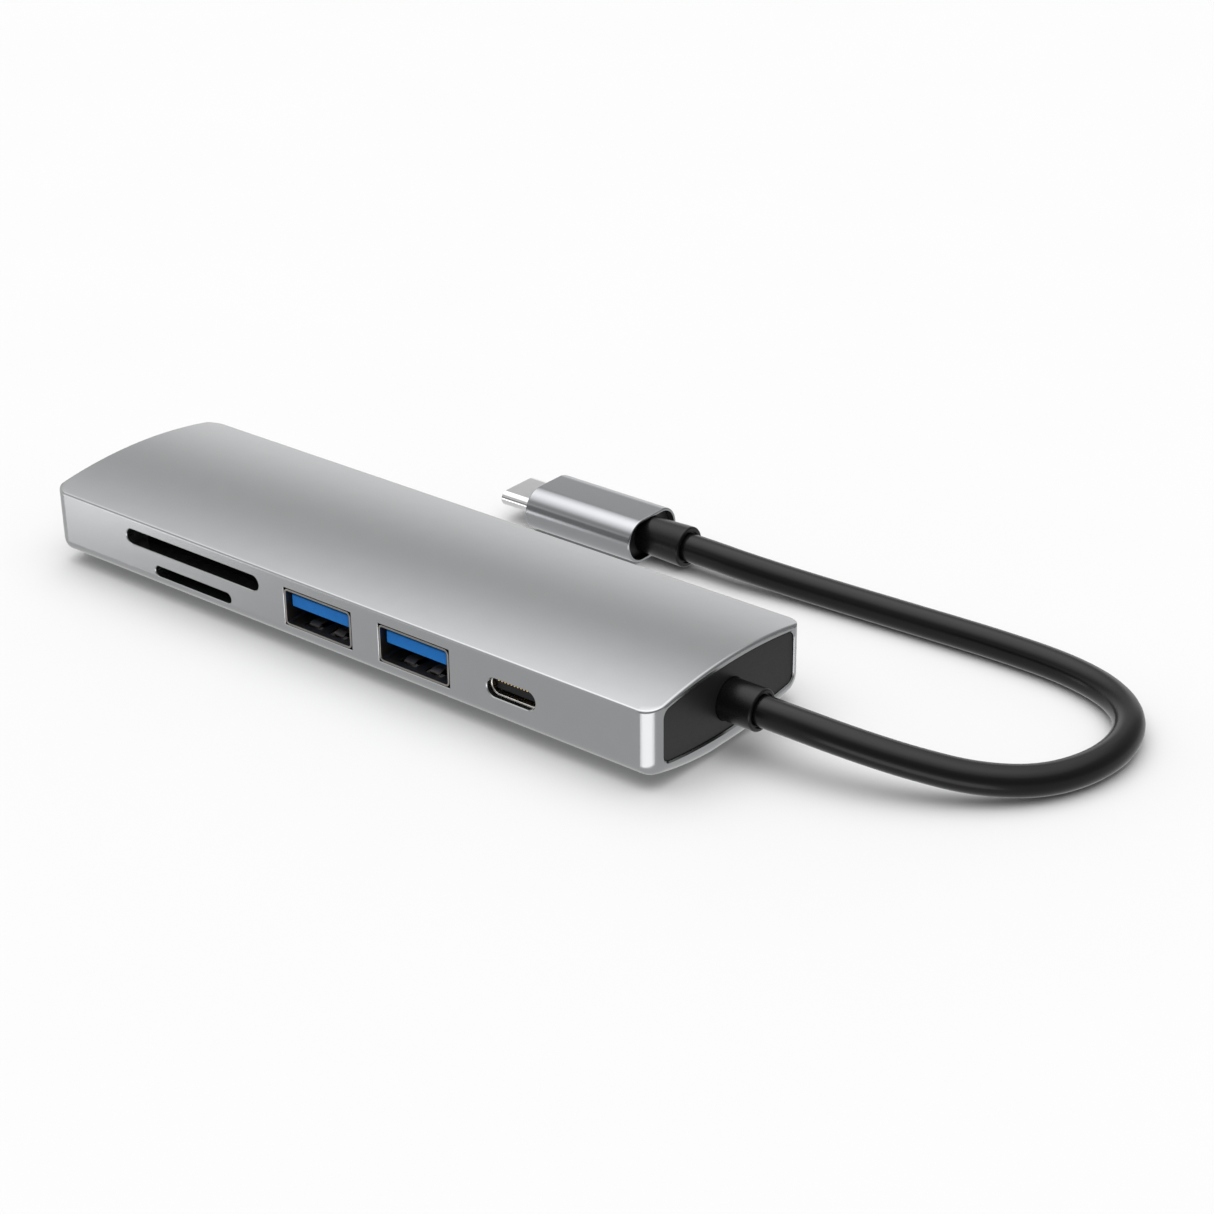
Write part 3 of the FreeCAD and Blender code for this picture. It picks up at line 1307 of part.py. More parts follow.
document.recompute()
for item in document.Objects:
    if "Invalid" in item.State or "Error" in item.State:
        raise RuntimeError(f"{item.Name} failed: {item.State}")
os.makedirs("parts", exist_ok=True)
for piece in made:
    if piece.Shape.isNull() or not piece.Shape.isValid() or piece.Shape.Volume <= 0:
        raise RuntimeError(f"{piece.Label} has no valid shape")
    piece.Shape.exportStep(os.path.join("parts", f"{piece.Label}.step"))
print(len(made), "nodes")
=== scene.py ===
import json
import math

import bmesh
import bpy
from mathutils import Matrix, Vector


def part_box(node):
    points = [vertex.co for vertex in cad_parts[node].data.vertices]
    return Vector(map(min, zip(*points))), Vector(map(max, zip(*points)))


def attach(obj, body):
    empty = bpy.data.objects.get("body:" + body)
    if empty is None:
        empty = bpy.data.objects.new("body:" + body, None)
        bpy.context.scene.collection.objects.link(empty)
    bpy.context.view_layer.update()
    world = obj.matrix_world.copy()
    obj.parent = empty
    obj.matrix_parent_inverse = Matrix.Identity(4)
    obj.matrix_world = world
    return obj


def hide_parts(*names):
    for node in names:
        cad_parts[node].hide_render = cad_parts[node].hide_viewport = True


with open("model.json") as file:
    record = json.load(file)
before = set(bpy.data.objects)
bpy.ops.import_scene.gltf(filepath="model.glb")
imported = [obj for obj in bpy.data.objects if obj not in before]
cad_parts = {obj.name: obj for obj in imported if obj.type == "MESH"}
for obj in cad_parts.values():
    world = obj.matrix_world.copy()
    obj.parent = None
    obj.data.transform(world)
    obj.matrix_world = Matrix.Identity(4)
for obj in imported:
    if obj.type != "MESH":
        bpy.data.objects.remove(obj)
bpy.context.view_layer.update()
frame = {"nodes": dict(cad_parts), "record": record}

MM = 0.001
QUARTER = math.pi / 2
nodes = frame["nodes"]
scene = bpy.context.scene


def extent(node):
    """A CAD node's lowest and highest corners, in millimetres."""
    low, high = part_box(node)
    return low / MM, high / MM


# ---------------------------------------------------------------- camera
VIEW_PLACE = (0.24404, -0.25434, 0.18033)
VIEW_YAW = math.radians(39.12)
VIEW_PITCH = math.radians(26.83)
VIEW_ROLL = math.radians(-0.63)
VIEW_LENS = 79.36
SENSOR_WIDTH = 36.0
NEAREST_SEEN = 0.01


def make_camera():
    data = bpy.data.cameras.new("camera")
    data.lens = VIEW_LENS
    data.sensor_width = SENSOR_WIDTH
    data.clip_start = NEAREST_SEEN
    camera = bpy.data.objects.new("camera", data)
    scene.collection.objects.link(camera)
    level = math.cos(VIEW_PITCH)
    forward = Vector((-math.sin(VIEW_YAW) * level, math.cos(VIEW_YAW) * level,
                      -math.sin(VIEW_PITCH)))
    flat_right = Vector((math.cos(VIEW_YAW), math.sin(VIEW_YAW), 0))
    flat_up = flat_right.cross(forward)
    right = flat_right * math.cos(VIEW_ROLL) + flat_up * math.sin(VIEW_ROLL)
    up = flat_up * math.cos(VIEW_ROLL) - flat_right * math.sin(VIEW_ROLL)
    turn = Matrix((right, up, -forward)).transposed()
    camera.matrix_world = Matrix.LocRotScale(Vector(VIEW_PLACE), turn, None)
    scene.camera = camera


make_camera()


# ---------------------------------------------------------------- materials
NOISE_SPAN = (0.3, 0.7)    # nearly all of a noise's values lie between these


class Nodes:
    """Short names for building one material's node tree."""

    def __init__(self, name):
        self.material = bpy.data.materials.new(name)
        self.material.use_nodes = True
        self.tree = self.material.node_tree
        self.shader = self.tree.nodes["Principled BSDF"]
        self.place = self.tree.nodes.new("ShaderNodeTexCoord").outputs["Object"]

    def link(self, output, target):
        self.tree.links.new(output, target)

    def stretched(self, scale):
        mapping = self.tree.nodes.new("ShaderNodeMapping")
        mapping.inputs["Scale"].default_value = scale
        self.link(self.place, mapping.inputs["Vector"])
        return mapping.outputs["Vector"]

    def noise(self, scale, detail=2.0, place=None):
        noise = self.tree.nodes.new("ShaderNodeTexNoise")
        noise.inputs["Scale"].default_value = scale
        noise.inputs["Detail"].default_value = detail
        self.link(place or self.place, noise.inputs["Vector"])
        return noise.outputs["Fac"]

    def spread(self, value, low, high):
        """Map a noise's usual span to low to high."""
        span = self.tree.nodes.new("ShaderNodeMapRange")
        span.inputs["From Min"].default_value = NOISE_SPAN[0]
        span.inputs["From Max"].default_value = NOISE_SPAN[1]
        span.inputs["To Min"].default_value = low
        span.inputs["To Max"].default_value = high
        self.link(value, span.inputs["Value"])
        return span.outputs["Result"]

    def tint(self, value, dark, light):
        """Map a noise's usual span to two colours."""
        ramp = self.tree.nodes.new("ShaderNodeValToRGB")
        for stop, position, colour in zip(ramp.color_ramp.elements, NOISE_SPAN, (dark, light)):
            stop.position = position
            stop.color = (*colour, 1)
        self.link(value, ramp.inputs["Fac"])
        return ramp.outputs["Color"]

    def bump(self, height, strength, distance):
        bump = self.tree.nodes.new("ShaderNodeBump")
        bump.inputs["Strength"].default_value = strength
        bump.inputs["Distance"].default_value = distance
        self.link(height, bump.inputs["Height"])
        self.link(bump.outputs["Normal"], self.shader.inputs["Normal"])


def finish(name, colour, metallic=0.0, roughness=0.5, spread=0.06, grain=4000, depth=0.00001,
           strength=0.4, mottle=0.08, mottle_scale=900, drawn=None, specular=0.5):
    """A surface with a fine grain, a slow mottle in its colour and a varying roughness.

    The roughness varies by spread either way.  grain and mottle_scale are the noises' scales, and
    depth and strength belong to the grain's bump.  drawn stretches the grain along one axis, as on
    drawn or rolled sheet.
    """
    made = Nodes(name)
    shader = made.shader
    shader.inputs["Metallic"].default_value = metallic
    shader.inputs["Specular IOR Level"].default_value = specular
    place = made.stretched(drawn) if drawn else made.place
    fine = made.noise(grain, place=place)
    slow = made.noise(mottle_scale, detail=3.0)
    dark = tuple(channel * (1 - mottle) for channel in colour)
    light = tuple(min(channel * (1 + mottle), 1.0) for channel in colour)
    made.link(made.tint(slow, dark, light), shader.inputs["Base Color"])
    made.link(made.spread(fine, roughness - spread, roughness + spread), shader.inputs["Roughness"])
    made.bump(fine, strength, depth)
    return made.material


def circuit_finish():
    """Dark solder mask with faintly raised copper tracks."""
    made = Nodes("board")
    shader = made.shader
    tracks = made.tree.nodes.new("ShaderNodeTexBrick")
    tracks.inputs["Scale"].default_value = 420
    tracks.inputs["Mortar Size"].default_value = 0.06
    tracks.inputs["Color1"].default_value = (0.004, 0.035, 0.02, 1)
    tracks.inputs["Color2"].default_value = (0.005, 0.045, 0.026, 1)
    tracks.inputs["Mortar"].default_value = (0.012, 0.085, 0.05, 1)
    made.link(made.place, tracks.inputs["Vector"])
    made.link(tracks.outputs["Color"], shader.inputs["Base Color"])
    made.link(made.spread(made.noise(3000), 0.3, 0.42), shader.inputs["Roughness"])
    made.bump(tracks.outputs["Fac"], strength=0.4, distance=0.00002)
    return made.material


SURFACE = {
    "housing": finish("housing", (0.315, 0.32, 0.325), metallic=1.0, roughness=0.25, spread=0.02,
                      grain=7000, depth=0.000002, strength=0.15, mottle=0.012, mottle_scale=300),
    "black_plastic": finish("black_plastic", (0.009, 0.009, 0.0093), roughness=0.42, spread=0.05,
                            grain=5200, depth=0.000008, mottle=0.06, specular=0.24),
    "board": circuit_finish(),
    "chip_black": finish("chip_black", (0.018, 0.018, 0.02), roughness=0.55, grain=9000,
                         depth=0.000008),
    "plated_steel": finish("plated_steel", (0.72, 0.7, 0.66), metallic=1.0, roughness=0.26,
                           spread=0.05, grain=2600, depth=0.000003, strength=0.3, mottle=0.04,
                           mottle_scale=700, drawn=(1.0, 0.12, 1.0)),
    "spring_steel": finish("spring_steel", (0.3, 0.27, 0.23), metallic=1.0, roughness=0.36,
                           spread=0.03, grain=3600, depth=0.000001, strength=0.2, mottle=0.03),
    "contact_gold": finish("contact_gold", (0.83, 0.6, 0.27), metallic=1.0, roughness=0.22,
                           spread=0.05, grain=5000, depth=0.000003, strength=0.3, mottle=0.05),
    "blue_plastic": finish("blue_plastic", (0.002, 0.137, 0.45), roughness=0.4, spread=0.04,
                           grain=4200, depth=0.000003, strength=0.3, mottle=0.03, specular=0.12),
    "socket_plastic": finish("socket_plastic", (0.004, 0.004, 0.0044), roughness=0.45,
                             spread=0.05, grain=5200, depth=0.000004, strength=0.3, specular=0.2),
    "crystal_can": finish("crystal_can", (0.7, 0.7, 0.68), metallic=1.0, roughness=0.3,
                          spread=0.05, grain=5000, depth=0.000003),
    "ferrite": finish("ferrite", (0.05, 0.05, 0.055), roughness=0.6, spread=0.08, grain=6000),
    "ceramic": finish("ceramic", (0.42, 0.3, 0.18), spread=0.08, grain=6000, depth=0.000008),
    "resistor": finish("resistor", (0.03, 0.03, 0.035), roughness=0.4, spread=0.08, grain=6000,
                       depth=0.000008),
    "solder": finish("solder", (0.66, 0.66, 0.65), metallic=1.0, roughness=0.34, spread=0.08),
    "wire": finish("wire", (0.35, 0.03, 0.03), roughness=0.4, grain=5000, depth=0.000008),
    "lead": finish("lead", (0.003, 0.003, 0.0032), roughness=0.24, spread=0.03, grain=5200,
                   depth=0.000004, strength=0.35, mottle=0.06, mottle_scale=500, specular=0.2),
    "plug_metal": finish("plug_metal", (0.28, 0.285, 0.295), metallic=1.0, roughness=0.2,
                         spread=0.02, grain=7000, depth=0.000002, strength=0.15, mottle=0.01,
                         mottle_scale=300),
    "tip_metal": finish("tip_metal", (0.6, 0.6, 0.6), metallic=1.0, roughness=0.12, spread=0.02,
                        grain=3000, depth=0.000001, strength=0.1, mottle=0.02, mottle_scale=700),
}
RUBBER = finish("relief_rubber", (0.003, 0.003, 0.0032), roughness=0.3, spread=0.04, grain=6200,
                depth=0.000005, strength=0.35, mottle=0.06, specular=0.2)
# A darker copy of the plated steel for the USB-A cans; its darkness is painted shade, not a
# different metal.
SHADED_SOCKET_STEEL = finish("shaded_socket_steel", (0.21, 0.2, 0.185), metallic=1.0, roughness=0.34,
                      spread=0.03, grain=2600, depth=0.000001, strength=0.15, mottle=0.03,
                      mottle_scale=700)


def dress(name, slot):
    """Give a CAD node that is shown as it is its finish."""
    node = nodes[name]
    if not node.material_slots:
        node.data.materials.append(None)
    for place in node.material_slots:
        place.material = SURFACE[slot]


# ---------------------------------------------------------------- outlines and skins
NORTH, WEST, SOUTH, FULL_TURN = QUARTER, 2 * QUARTER, 3 * QUARTER, 4 * QUARTER
LEAST_CORNER = 0.02
# Steps round an arch's upper corners, its crown, its lower corners and each side of its underside.
CORNER_STEPS, CROWN_STEPS, LOW_CORNER_STEPS, UNDER_STEPS = 6, 32, 8, 12


def arc_points(centre_u, centre_v, radius, start, end, steps):
    """Points along an arc between two angles, both ends included."""
    points = []
    for step in range(steps + 1):
        angle = start + (end - start) * step / steps
        points.append((centre_u + radius * math.cos(angle), centre_v + radius * math.sin(angle)))
    return points


def stadium(centre_u, centre_v, width, height, steps=20):
    """A slot with full round ends.  Each outline is a function of how far it is drawn in."""
    reach = (width - height) / 2

    def outline(inset=0.0):
        radius = height / 2 - inset
        right = arc_points(centre_u + reach, centre_v, radius, -QUARTER, NORTH, steps)
        left = arc_points(centre_u - reach, centre_v, radius, NORTH, SOUTH, steps)
        return right + left

    return outline


def rounded(centre_u, centre_v, width, height, radius, steps=6):
    """A rectangle with rounded corners."""

    def outline(inset=0.0):
        corner = max(radius - inset, LEAST_CORNER)
        across, up = width / 2 - inset - corner, height / 2 - inset - corner
        points = []
        corners = ((across, up), (-across, up), (-across, -up), (across, -up))
        for quarter, (u, v) in enumerate(corners):
            start = quarter * QUARTER
            points += arc_points(centre_u + u, centre_v + v, corner, start, start + QUARTER, steps)
        return points

    return outline


def disc(centre_u, centre_v, radius=0.0, steps=72):
    """A circle, its last point one step short of the first."""

    def outline(inset=0.0):
        last = FULL_TURN * (1 - 1 / steps)
        return arc_points(centre_u, centre_v, radius - inset, 0, last, steps - 1)

    return outline


def arch(half_width, middle, side, rise_low, rise_high, ease, land=0.0, low_ease=None):
    """Upright sides with a shallow arc above and below, eased where they meet, and a flat land.

    land is the flat's width in the middle of the underside.  The outline's inset is one distance,
    or one each for its sides, top and bottom.
    """
    under = ease if low_ease is None else low_ease
    half_land = land / 2
    top_radius = (half_width ** 2 + rise_high ** 2) / (2 * rise_high)
    top_centre = middle + side / 2 + rise_high - top_radius
    low_climb = (half_width ** 2 + rise_low ** 2 - half_land ** 2) / (2 * rise_low)
    low_centre = middle - side / 2 - rise_low + low_climb
    low_radius = math.hypot(low_climb, half_land)
    land_tilt = math.asin(half_land / low_radius)

    def outline(inset=0.0):
        side_in, top_in, low_in = inset if isinstance(inset, tuple) else (inset, inset, inset)
        reach, low_reach = half_width - side_in - ease, half_width - side_in - under
        top, low = top_radius - top_in, low_radius - low_in
        top_tilt = math.asin(reach / (top - ease))
        low_tilt = math.asin(low_reach / (low - under))
        top_level = top_centre + (top - ease) * math.cos(top_tilt)
        low_level = low_centre - (low - under) * math.cos(low_tilt)
        points = arc_points(reach, top_level, ease, 0, NORTH - top_tilt, CORNER_STEPS)
        points += arc_points(0, top_centre, top, NORTH - top_tilt, NORTH + top_tilt,
                             CROWN_STEPS)[1:-1]
        points += arc_points(-reach, top_level, ease, NORTH + top_tilt, WEST, CORNER_STEPS)
        points += arc_points(-low_reach, low_level, under, WEST, SOUTH - low_tilt,
                             LOW_CORNER_STEPS)
        points += arc_points(0, low_centre, low, SOUTH - low_tilt, SOUTH - land_tilt,
                             UNDER_STEPS)[1:]
        points += arc_points(0, low_centre, low, SOUTH + land_tilt, SOUTH + low_tilt,
                             UNDER_STEPS)[:-1]
        points += arc_points(low_reach, low_level, under, SOUTH + low_tilt, FULL_TURN,
                             LOW_CORNER_STEPS)
        return points

    return outline


def round_corner(before, here, after, radius, steps):
    """Points round a corner, from the side of the corner before to the side of the one after."""
    back, ahead = (before - here).normalized(), (after - here).normalized()
    half = back.angle(ahead) / 2
    centre = here + (back + ahead).normalized() * radius / math.sin(half)
    start = here + back * radius / math.tan(half) - centre
    end = here + ahead * radius / math.tan(half) - centre
    # slerp gives unit vectors, so the radius is put back.
    return [tuple(centre + start.slerp(end, step / steps) * radius) for step in range(steps + 1)]


def polygon(corners, radius, steps=3):
    """Straight runs round the corners, anticlockwise, each corner eased."""
    count = len(corners)
    spots = [Vector(corner) for corner in corners]

    def outline(inset=0.0):
        moved = []
        for index, here in enumerate(spots):
            into = (here - spots[index - 1]).normalized()
            out = (spots[(index + 1) % count] - here).normalized()
            inward = Vector((-into.y, into.x)) + Vector((-out.y, out.x))
            moved.append(here + inward * inset / (1 + into.dot(out)))
        points = []
        for index, here in enumerate(moved):
            after = moved[(index + 1) % count]
            points += round_corner(moved[index - 1], here, after, radius, steps)
        return points

    return outline


def eased(corners, steps=4):
    """Stations along a path of (depth, inset, radius) corners, each rounded by its radius."""
    spots = [Vector(corner[:2]) for corner in corners]
    stations = []
    for index, here in enumerate(spots):
        radius = corners[index][2]
        if radius == 0:
            stations.append(tuple(here))
            continue
        after = spots[(index + 1) % len(spots)]
        stations += round_corner(spots[index - 1], here, after, radius, steps)
    return stations


ALONG = {
    "x": lambda depth, u, v: (depth, u, v),
    "y": lambda depth, u, v: (u, depth, v),
    "z": lambda depth, u, v: (u, v, depth),
}


def join_rings(skin, rings, closed=False):
    """Faces between rings of points; the ends are capped, or closed joins them to each other."""
    pairs = list(zip(rings, rings[1:]))
    if closed:
        pairs.append((rings[-1], rings[0]))
    count = len(rings[0])
    for one, other in pairs:
        for index in range(count):
            following = (index + 1) % count
            skin.faces.new((one[index], one[following], other[following], other[index]))
    if not closed:
        skin.faces.new(rings[0][::-1])
        skin.faces.new(rings[-1])


def sweep(skin, outline, stations, axis, closed=False):
    """Rings of the outline at each (depth, inset) station, joined into one skin."""
    rings = []
    for depth, inset in stations:
        rings.append([skin.verts.new(ALONG[axis](depth, u, v)) for u, v in outline(inset)])
    join_rings(skin, rings, closed)
    return skin


def tube(skin, outline, start, end, wall, axis, rim=0.08):
    """A hollow length of the outline with rounded rims at both ends."""
    path = [(start, 0, rim), (end, 0, rim), (end, wall, rim), (start, wall, rim)]
    return sweep(skin, outline, eased(path), axis, closed=True)


def slab(skin, outline, start, end, axis, ease=0.1):
    """A solid length of the outline with its two rims eased."""
    path = [(start, 2 * ease, 0), (start, 0, ease), (end, 0, ease), (end, 2 * ease, 0)]
    return sweep(skin, outline, eased(path, steps=3), axis)


def turned(skin, centre_y, centre_z, profile):
    """A solid of revolution about a line along X: profile is (x, radius, easing) corners."""
    path = [(x, -radius, ease) for x, radius, ease in profile]
    return sweep(skin, disc(centre_y, centre_z), eased(path), "x")


def smooth_line(points, steps=6):
    """A rounded line through the points (Catmull-Rom)."""
    line = []
    spots = [Vector(point) for point in points]
    for index in range(len(spots) - 1):
        before = spots[max(index - 1, 0)]
        here, after = spots[index], spots[index + 1]
        beyond = spots[min(index + 2, len(spots) - 1)]
        for step in range(steps):
            t = step / steps
            part = (after - before) * t + (2 * before - 5 * here + 4 * after - beyond) * t * t
            part += (3 * here - before - 3 * after + beyond) * t ** 3
            line.append(here + part / 2)
    line.append(spots[-1])
    return line


def ribbon(skin, points, thickness, width, centre_x):
    """Sheet-metal strip with chamfered edges, bent along a smooth line of (y, z) points."""
    line = smooth_line(points)
    chamfer = thickness / 4
    half, side = thickness / 2, width / 2
    section = [(half, side - chamfer), (half - chamfer, side), (chamfer - half, side),
               (-half, side - chamfer), (-half, chamfer - side), (chamfer - half, -side),
               (half - chamfer, -side), (half, chamfer - side)]
    rings = []
    for index, here in enumerate(line):
        ahead, behind = line[min(index + 1, len(line) - 1)], line[max(index - 1, 0)]
        heading = (ahead - behind).normalized()
        normal = Vector((-heading.y, heading.x))
        ring = [(centre_x + wide, *(here + normal * out)) for out, wide in section]
        rings.append([skin.verts.new(corner) for corner in ring])
    join_rings(skin, rings)


def loose_object(name, skin):
    """An object with the skin as its mesh; it isn't a piece yet."""
    bmesh.ops.recalc_face_normals(skin, faces=skin.faces)
    mesh = bpy.data.meshes.new(name)
    skin.to_mesh(mesh)
    skin.free()
    thing = bpy.data.objects.new(name, mesh)
    scene.collection.objects.link(thing)
    return thing


def settle(thing):
    """Apply an object's modifiers to its mesh."""
    bpy.context.view_layer.update()
    drawn = thing.evaluated_get(bpy.context.evaluated_depsgraph_get())
    mesh = bpy.data.meshes.new_from_object(drawn)
    mesh.name = thing.name
    thing.modifiers.clear()
    thing.data = mesh


SHARP_FROM = math.radians(32)


def piece(name, skin, body, slot, replaced=(), cutters=(), surface=None):
    """Make a finished piece from a skin in millimetres.

    It is carved by its cutters, smoothed, dressed and tied to its body.
    """
    thing = loose_object(name, skin)
    tools = [loose_object(f"{name}_cutter", cutter) for cutter in cutters]
    for tool in tools:
        cut = thing.modifiers.new("cut", "BOOLEAN")
        cut.operation = "DIFFERENCE"
        cut.solver = "EXACT"
        cut.object = tool
    settle(thing)
    for tool in tools:
        bpy.data.objects.remove(tool)
    mesh = thing.data
    mesh.transform(Matrix.Scale(MM, 4))
    for polygon_face in mesh.polygons:
        polygon_face.use_smooth = True
    mesh.set_sharp_from_angle(angle=SHARP_FROM)
    weighted = thing.modifiers.new("weighted", "WEIGHTED_NORMAL")
    weighted.keep_sharp = True
    settle(thing)
    thing.data.materials.clear()
    thing.data.materials.append(surface or SURFACE[slot])
    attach(thing, body)
    if replaced:
        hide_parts(*replaced)
    return thing


def new_skin():
    return bmesh.new()


# ---------------------------------------------------------------- lead
LEAD_DIAMETER = 0.0045
# Corners of the lead's route, from the hub's collar to the plug's collar.
LEAD_ROUTE = [
    (0.0633, 0.0, 0.00725),
    (0.0695, 0.0, 0.00725),
    (0.0769, 0.0012, 0.0064),
    (0.0848, 0.0038, 0.0050),
    (0.0923, 0.0078, 0.0034),
    (0.0982, 0.0135, 0.0025),
    (0.1015, 0.0207, 0.0023),
    (0.1021, 0.0284, 0.0023),
    (0.0997, 0.0355, 0.0023),
    (0.0943, 0.0406, 0.0023),
    (0.0858, 0.0433, 0.0023),
    (0.0741, 0.0437, 0.0023),
    (0.0594, 0.0430, 0.0023),
    (0.0415, 0.0420, 0.0024),
    (0.0310, 0.0404, 0.0033),
    (0.0255, 0.0403, 0.00353),
    (0.0204, 0.0403, 0.00353),
]


def make_lead():
    curve = bpy.data.curves.new("lead", "CURVE")
    curve.dimensions = "3D"
    curve.resolution_u = 16
    curve.bevel_depth = LEAD_DIAMETER / 2
    curve.bevel_resolution = 10
    curve.use_fill_caps = True
    spline = curve.splines.new("NURBS")
    spline.points.add(len(LEAD_ROUTE) - 1)
    for point, corner in zip(spline.points, LEAD_ROUTE):
        point.co = (*corner, 1)
    spline.order_u = 3
    spline.use_endpoint_u = True
    curve.materials.append(SURFACE["lead"])
    lead = bpy.data.objects.new("lead", curve)
    scene.collection.objects.link(lead)
    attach(lead, "hub")
    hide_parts("lead_jacket")
    return lead


lead = make_lead()


# ---------------------------------------------------------------- housing
hub_low, hub_high = extent("housing_sleeve")
HALF_LENGTH = hub_high.x
HALF_WIDTH = hub_high.y
FRONT = hub_low.y
SIDE_HEIGHT = 9.58
BOTTOM_RISE = 2.46
TOP_RISE = hub_high.z - SIDE_HEIGHT - BOTTOM_RISE
LAND_WIDTH = 7.0
MIDDLE = BOTTOM_RISE + SIDE_HEIGHT / 2
LONG_EDGE = 0.45
LOW_EDGE = 2.0
END_ROUNDS = (2.8, 0.45, 2.2)    # at the sides, the top and the bottom
END_STEPS = 10
CAVITY = {"half_width": 14.6, "middle": MIDDLE + 0.52, "side": 7.7, "rise_low": 1.17,
          "rise_high": 1.15, "ease": 1.4}
CAVITY_OVERRUN = 1.5
END_CHAMFER = 0.22
MOUTH_CHAMFER = 0.12
CUT_CLEAR = 1.0     # how far a cutter starts before the front face
CUT_DEPTH = 3.0     # how far it reaches behind the face
TIGHT_CORNER = 0.05


def front_cutter(outline, chamfer=MOUTH_CHAMFER):
    """A cutter through the front wall that leaves a chamfer round its mouth."""
    stations = [(FRONT - CUT_CLEAR, -CUT_CLEAR - chamfer), (FRONT + chamfer, 0),
                (FRONT + CUT_DEPTH, 0)]
    return sweep(new_skin(), outline, stations, "y")


def inner_cutter(outline, start):
    """A cutter in the front wall that starts some way behind its face."""
    return sweep(new_skin(), outline, [(FRONT + start, 0), (FRONT + CUT_DEPTH, 0)], "y")


def socket_middle(node):
    """Where a CAD node's middle lies along the hub."""
    low, high = extent(node)
    return (low.x + high.x) / 2


USB_A_SIDES = ("left", "right")
USB_A_Z = 7.3
USB_A_SIZE = (13.1, 5.8)
USB_A_CUT_GAP = 0.1
USB_A_CHAMFER = 0.08
# Room in the front wall under the latch springs.
RELIEF_SIZE = (8.2, 0.9)
RELIEF_DROP = 0.35
RELIEF_START = 0.9
USB_C_Z = 7.15
USB_C_SLOT = (8.6, 2.9)
USB_C_SHELL = (8.94, 3.2)
USB_C_SEAT_GAP = 0.2
USB_C_RECESS = 1.0
SD_SLOT = (28.1, 2.45)
SD_SLOT_Z = 9.0
MICRO_SLOT = (16.2, 1.7)
MICRO_SLOT_Z = 4.8
usb_c_x = socket_middle("usb_c_contacts")
sd_x = socket_middle("sd_socket_frame")
micro_x = socket_middle("microsd_socket_frame")
usb_a_x = {side: socket_middle(f"usb_a_{side}_insulator") for side in USB_A_SIDES}


def rounding(radius, distance):
    """How far a rounded edge draws in at a distance from the end face."""
    short = max(radius - distance, 0)
    return radius - math.sqrt(radius ** 2 - short ** 2)


def end_stations():
    """Stations from the straight run out to the end face, close together where an edge turns."""
    turns = [QUARTER * step / END_STEPS for step in range(END_STEPS + 1)]
    distances = {round(radius * (1 - math.sin(turn)), 5) for radius in END_ROUNDS for turn in turns}
    stations = []
    for distance in sorted(distances, reverse=True):
        insets = tuple(rounding(radius, distance) for radius in END_ROUNDS)
        stations.append((HALF_LENGTH - distance, insets))
    return stations


def make_housing():
    section = arch(HALF_WIDTH, MIDDLE, SIDE_HEIGHT, BOTTOM_RISE, TOP_RISE, LONG_EDGE, LAND_WIDTH,
                   LOW_EDGE)
    right = end_stations()
    left = [(-depth, insets) for depth, insets in right[::-1]]
    skin = sweep(new_skin(), section, left + right, "x")
    mouth = HALF_LENGTH - END_CHAMFER
    outside, flare = HALF_LENGTH + CAVITY_OVERRUN, -CAVITY_OVERRUN - END_CHAMFER
    cavity_path = [(-outside, flare), (-mouth, 0), (mouth, 0), (outside, flare)]
    cutters = [sweep(new_skin(), arch(**CAVITY), cavity_path, "x")]
    cutters.append(front_cutter(stadium(sd_x, SD_SLOT_Z, *SD_SLOT)))
    cutters.append(front_cutter(stadium(micro_x, MICRO_SLOT_Z, *MICRO_SLOT)))
    cutters.append(front_cutter(stadium(usb_c_x, USB_C_Z, *USB_C_SLOT)))
    seat = [length + USB_C_SEAT_GAP for length in USB_C_SHELL]
    cutters.append(inner_cutter(stadium(usb_c_x, USB_C_Z, *seat), USB_C_RECESS))
    opening = [length + 2 * USB_A_CUT_GAP for length in USB_A_SIZE]
    relief_z = USB_A_Z - USB_A_SIZE[1] / 2 - RELIEF_DROP
    for side in USB_A_SIDES:
        hole = rounded(usb_a_x[side], USB_A_Z, *opening, TIGHT_CORNER, 2)
        cutters.append(front_cutter(hole, USB_A_CHAMFER))
        relief = rounded(usb_a_x[side], relief_z, *RELIEF_SIZE, TIGHT_CORNER, 2)
        cutters.append(inner_cutter(relief, RELIEF_START))
    piece("housing", skin, "hub", "housing", ["housing_sleeve"], cutters)


make_housing()


# ---------------------------------------------------------------- end caps
CAP_DEPTH = 1.6
PANEL_GAP = 0.05
PANEL_EDGE = 0.12
HOLE_EDGE = 0.1
HOLE_OVERRUN = 1.0
HDMI_Z = 7.3
HDMI_SIZE = (15.0, 5.9)
# The lower corners: how far each is drawn in, its knee's height, and the runs below and above it.
HDMI_CORNER = 1.6
HDMI_KNEE = 0.6 * HDMI_CORNER
HDMI_LOW_RUN = 0.6
HDMI_SIDE_RUN = 1.2
HDMI_EASE = 0.35
SHEET = 0.3
HUB_COLLAR_RADIUS = 3.05
HUB_COLLAR_GAP = 0.02


def hdmi_outline(grow=0.0):
    """Wide above, with the two lower corners drawn in."""
    wide = HDMI_SIZE[0] / 2 + grow
    high = HDMI_Z + HDMI_SIZE[1] / 2 + grow
    low = HDMI_Z - HDMI_SIZE[1] / 2 - grow
    right = [(wide - HDMI_CORNER - HDMI_LOW_RUN, low), (wide - HDMI_CORNER, low + HDMI_KNEE),
             (wide, low + HDMI_CORNER + HDMI_SIDE_RUN), (wide, high)]
    left = [(-u, v) for u, v in right[::-1]]
    return polygon(right + left, HDMI_EASE)


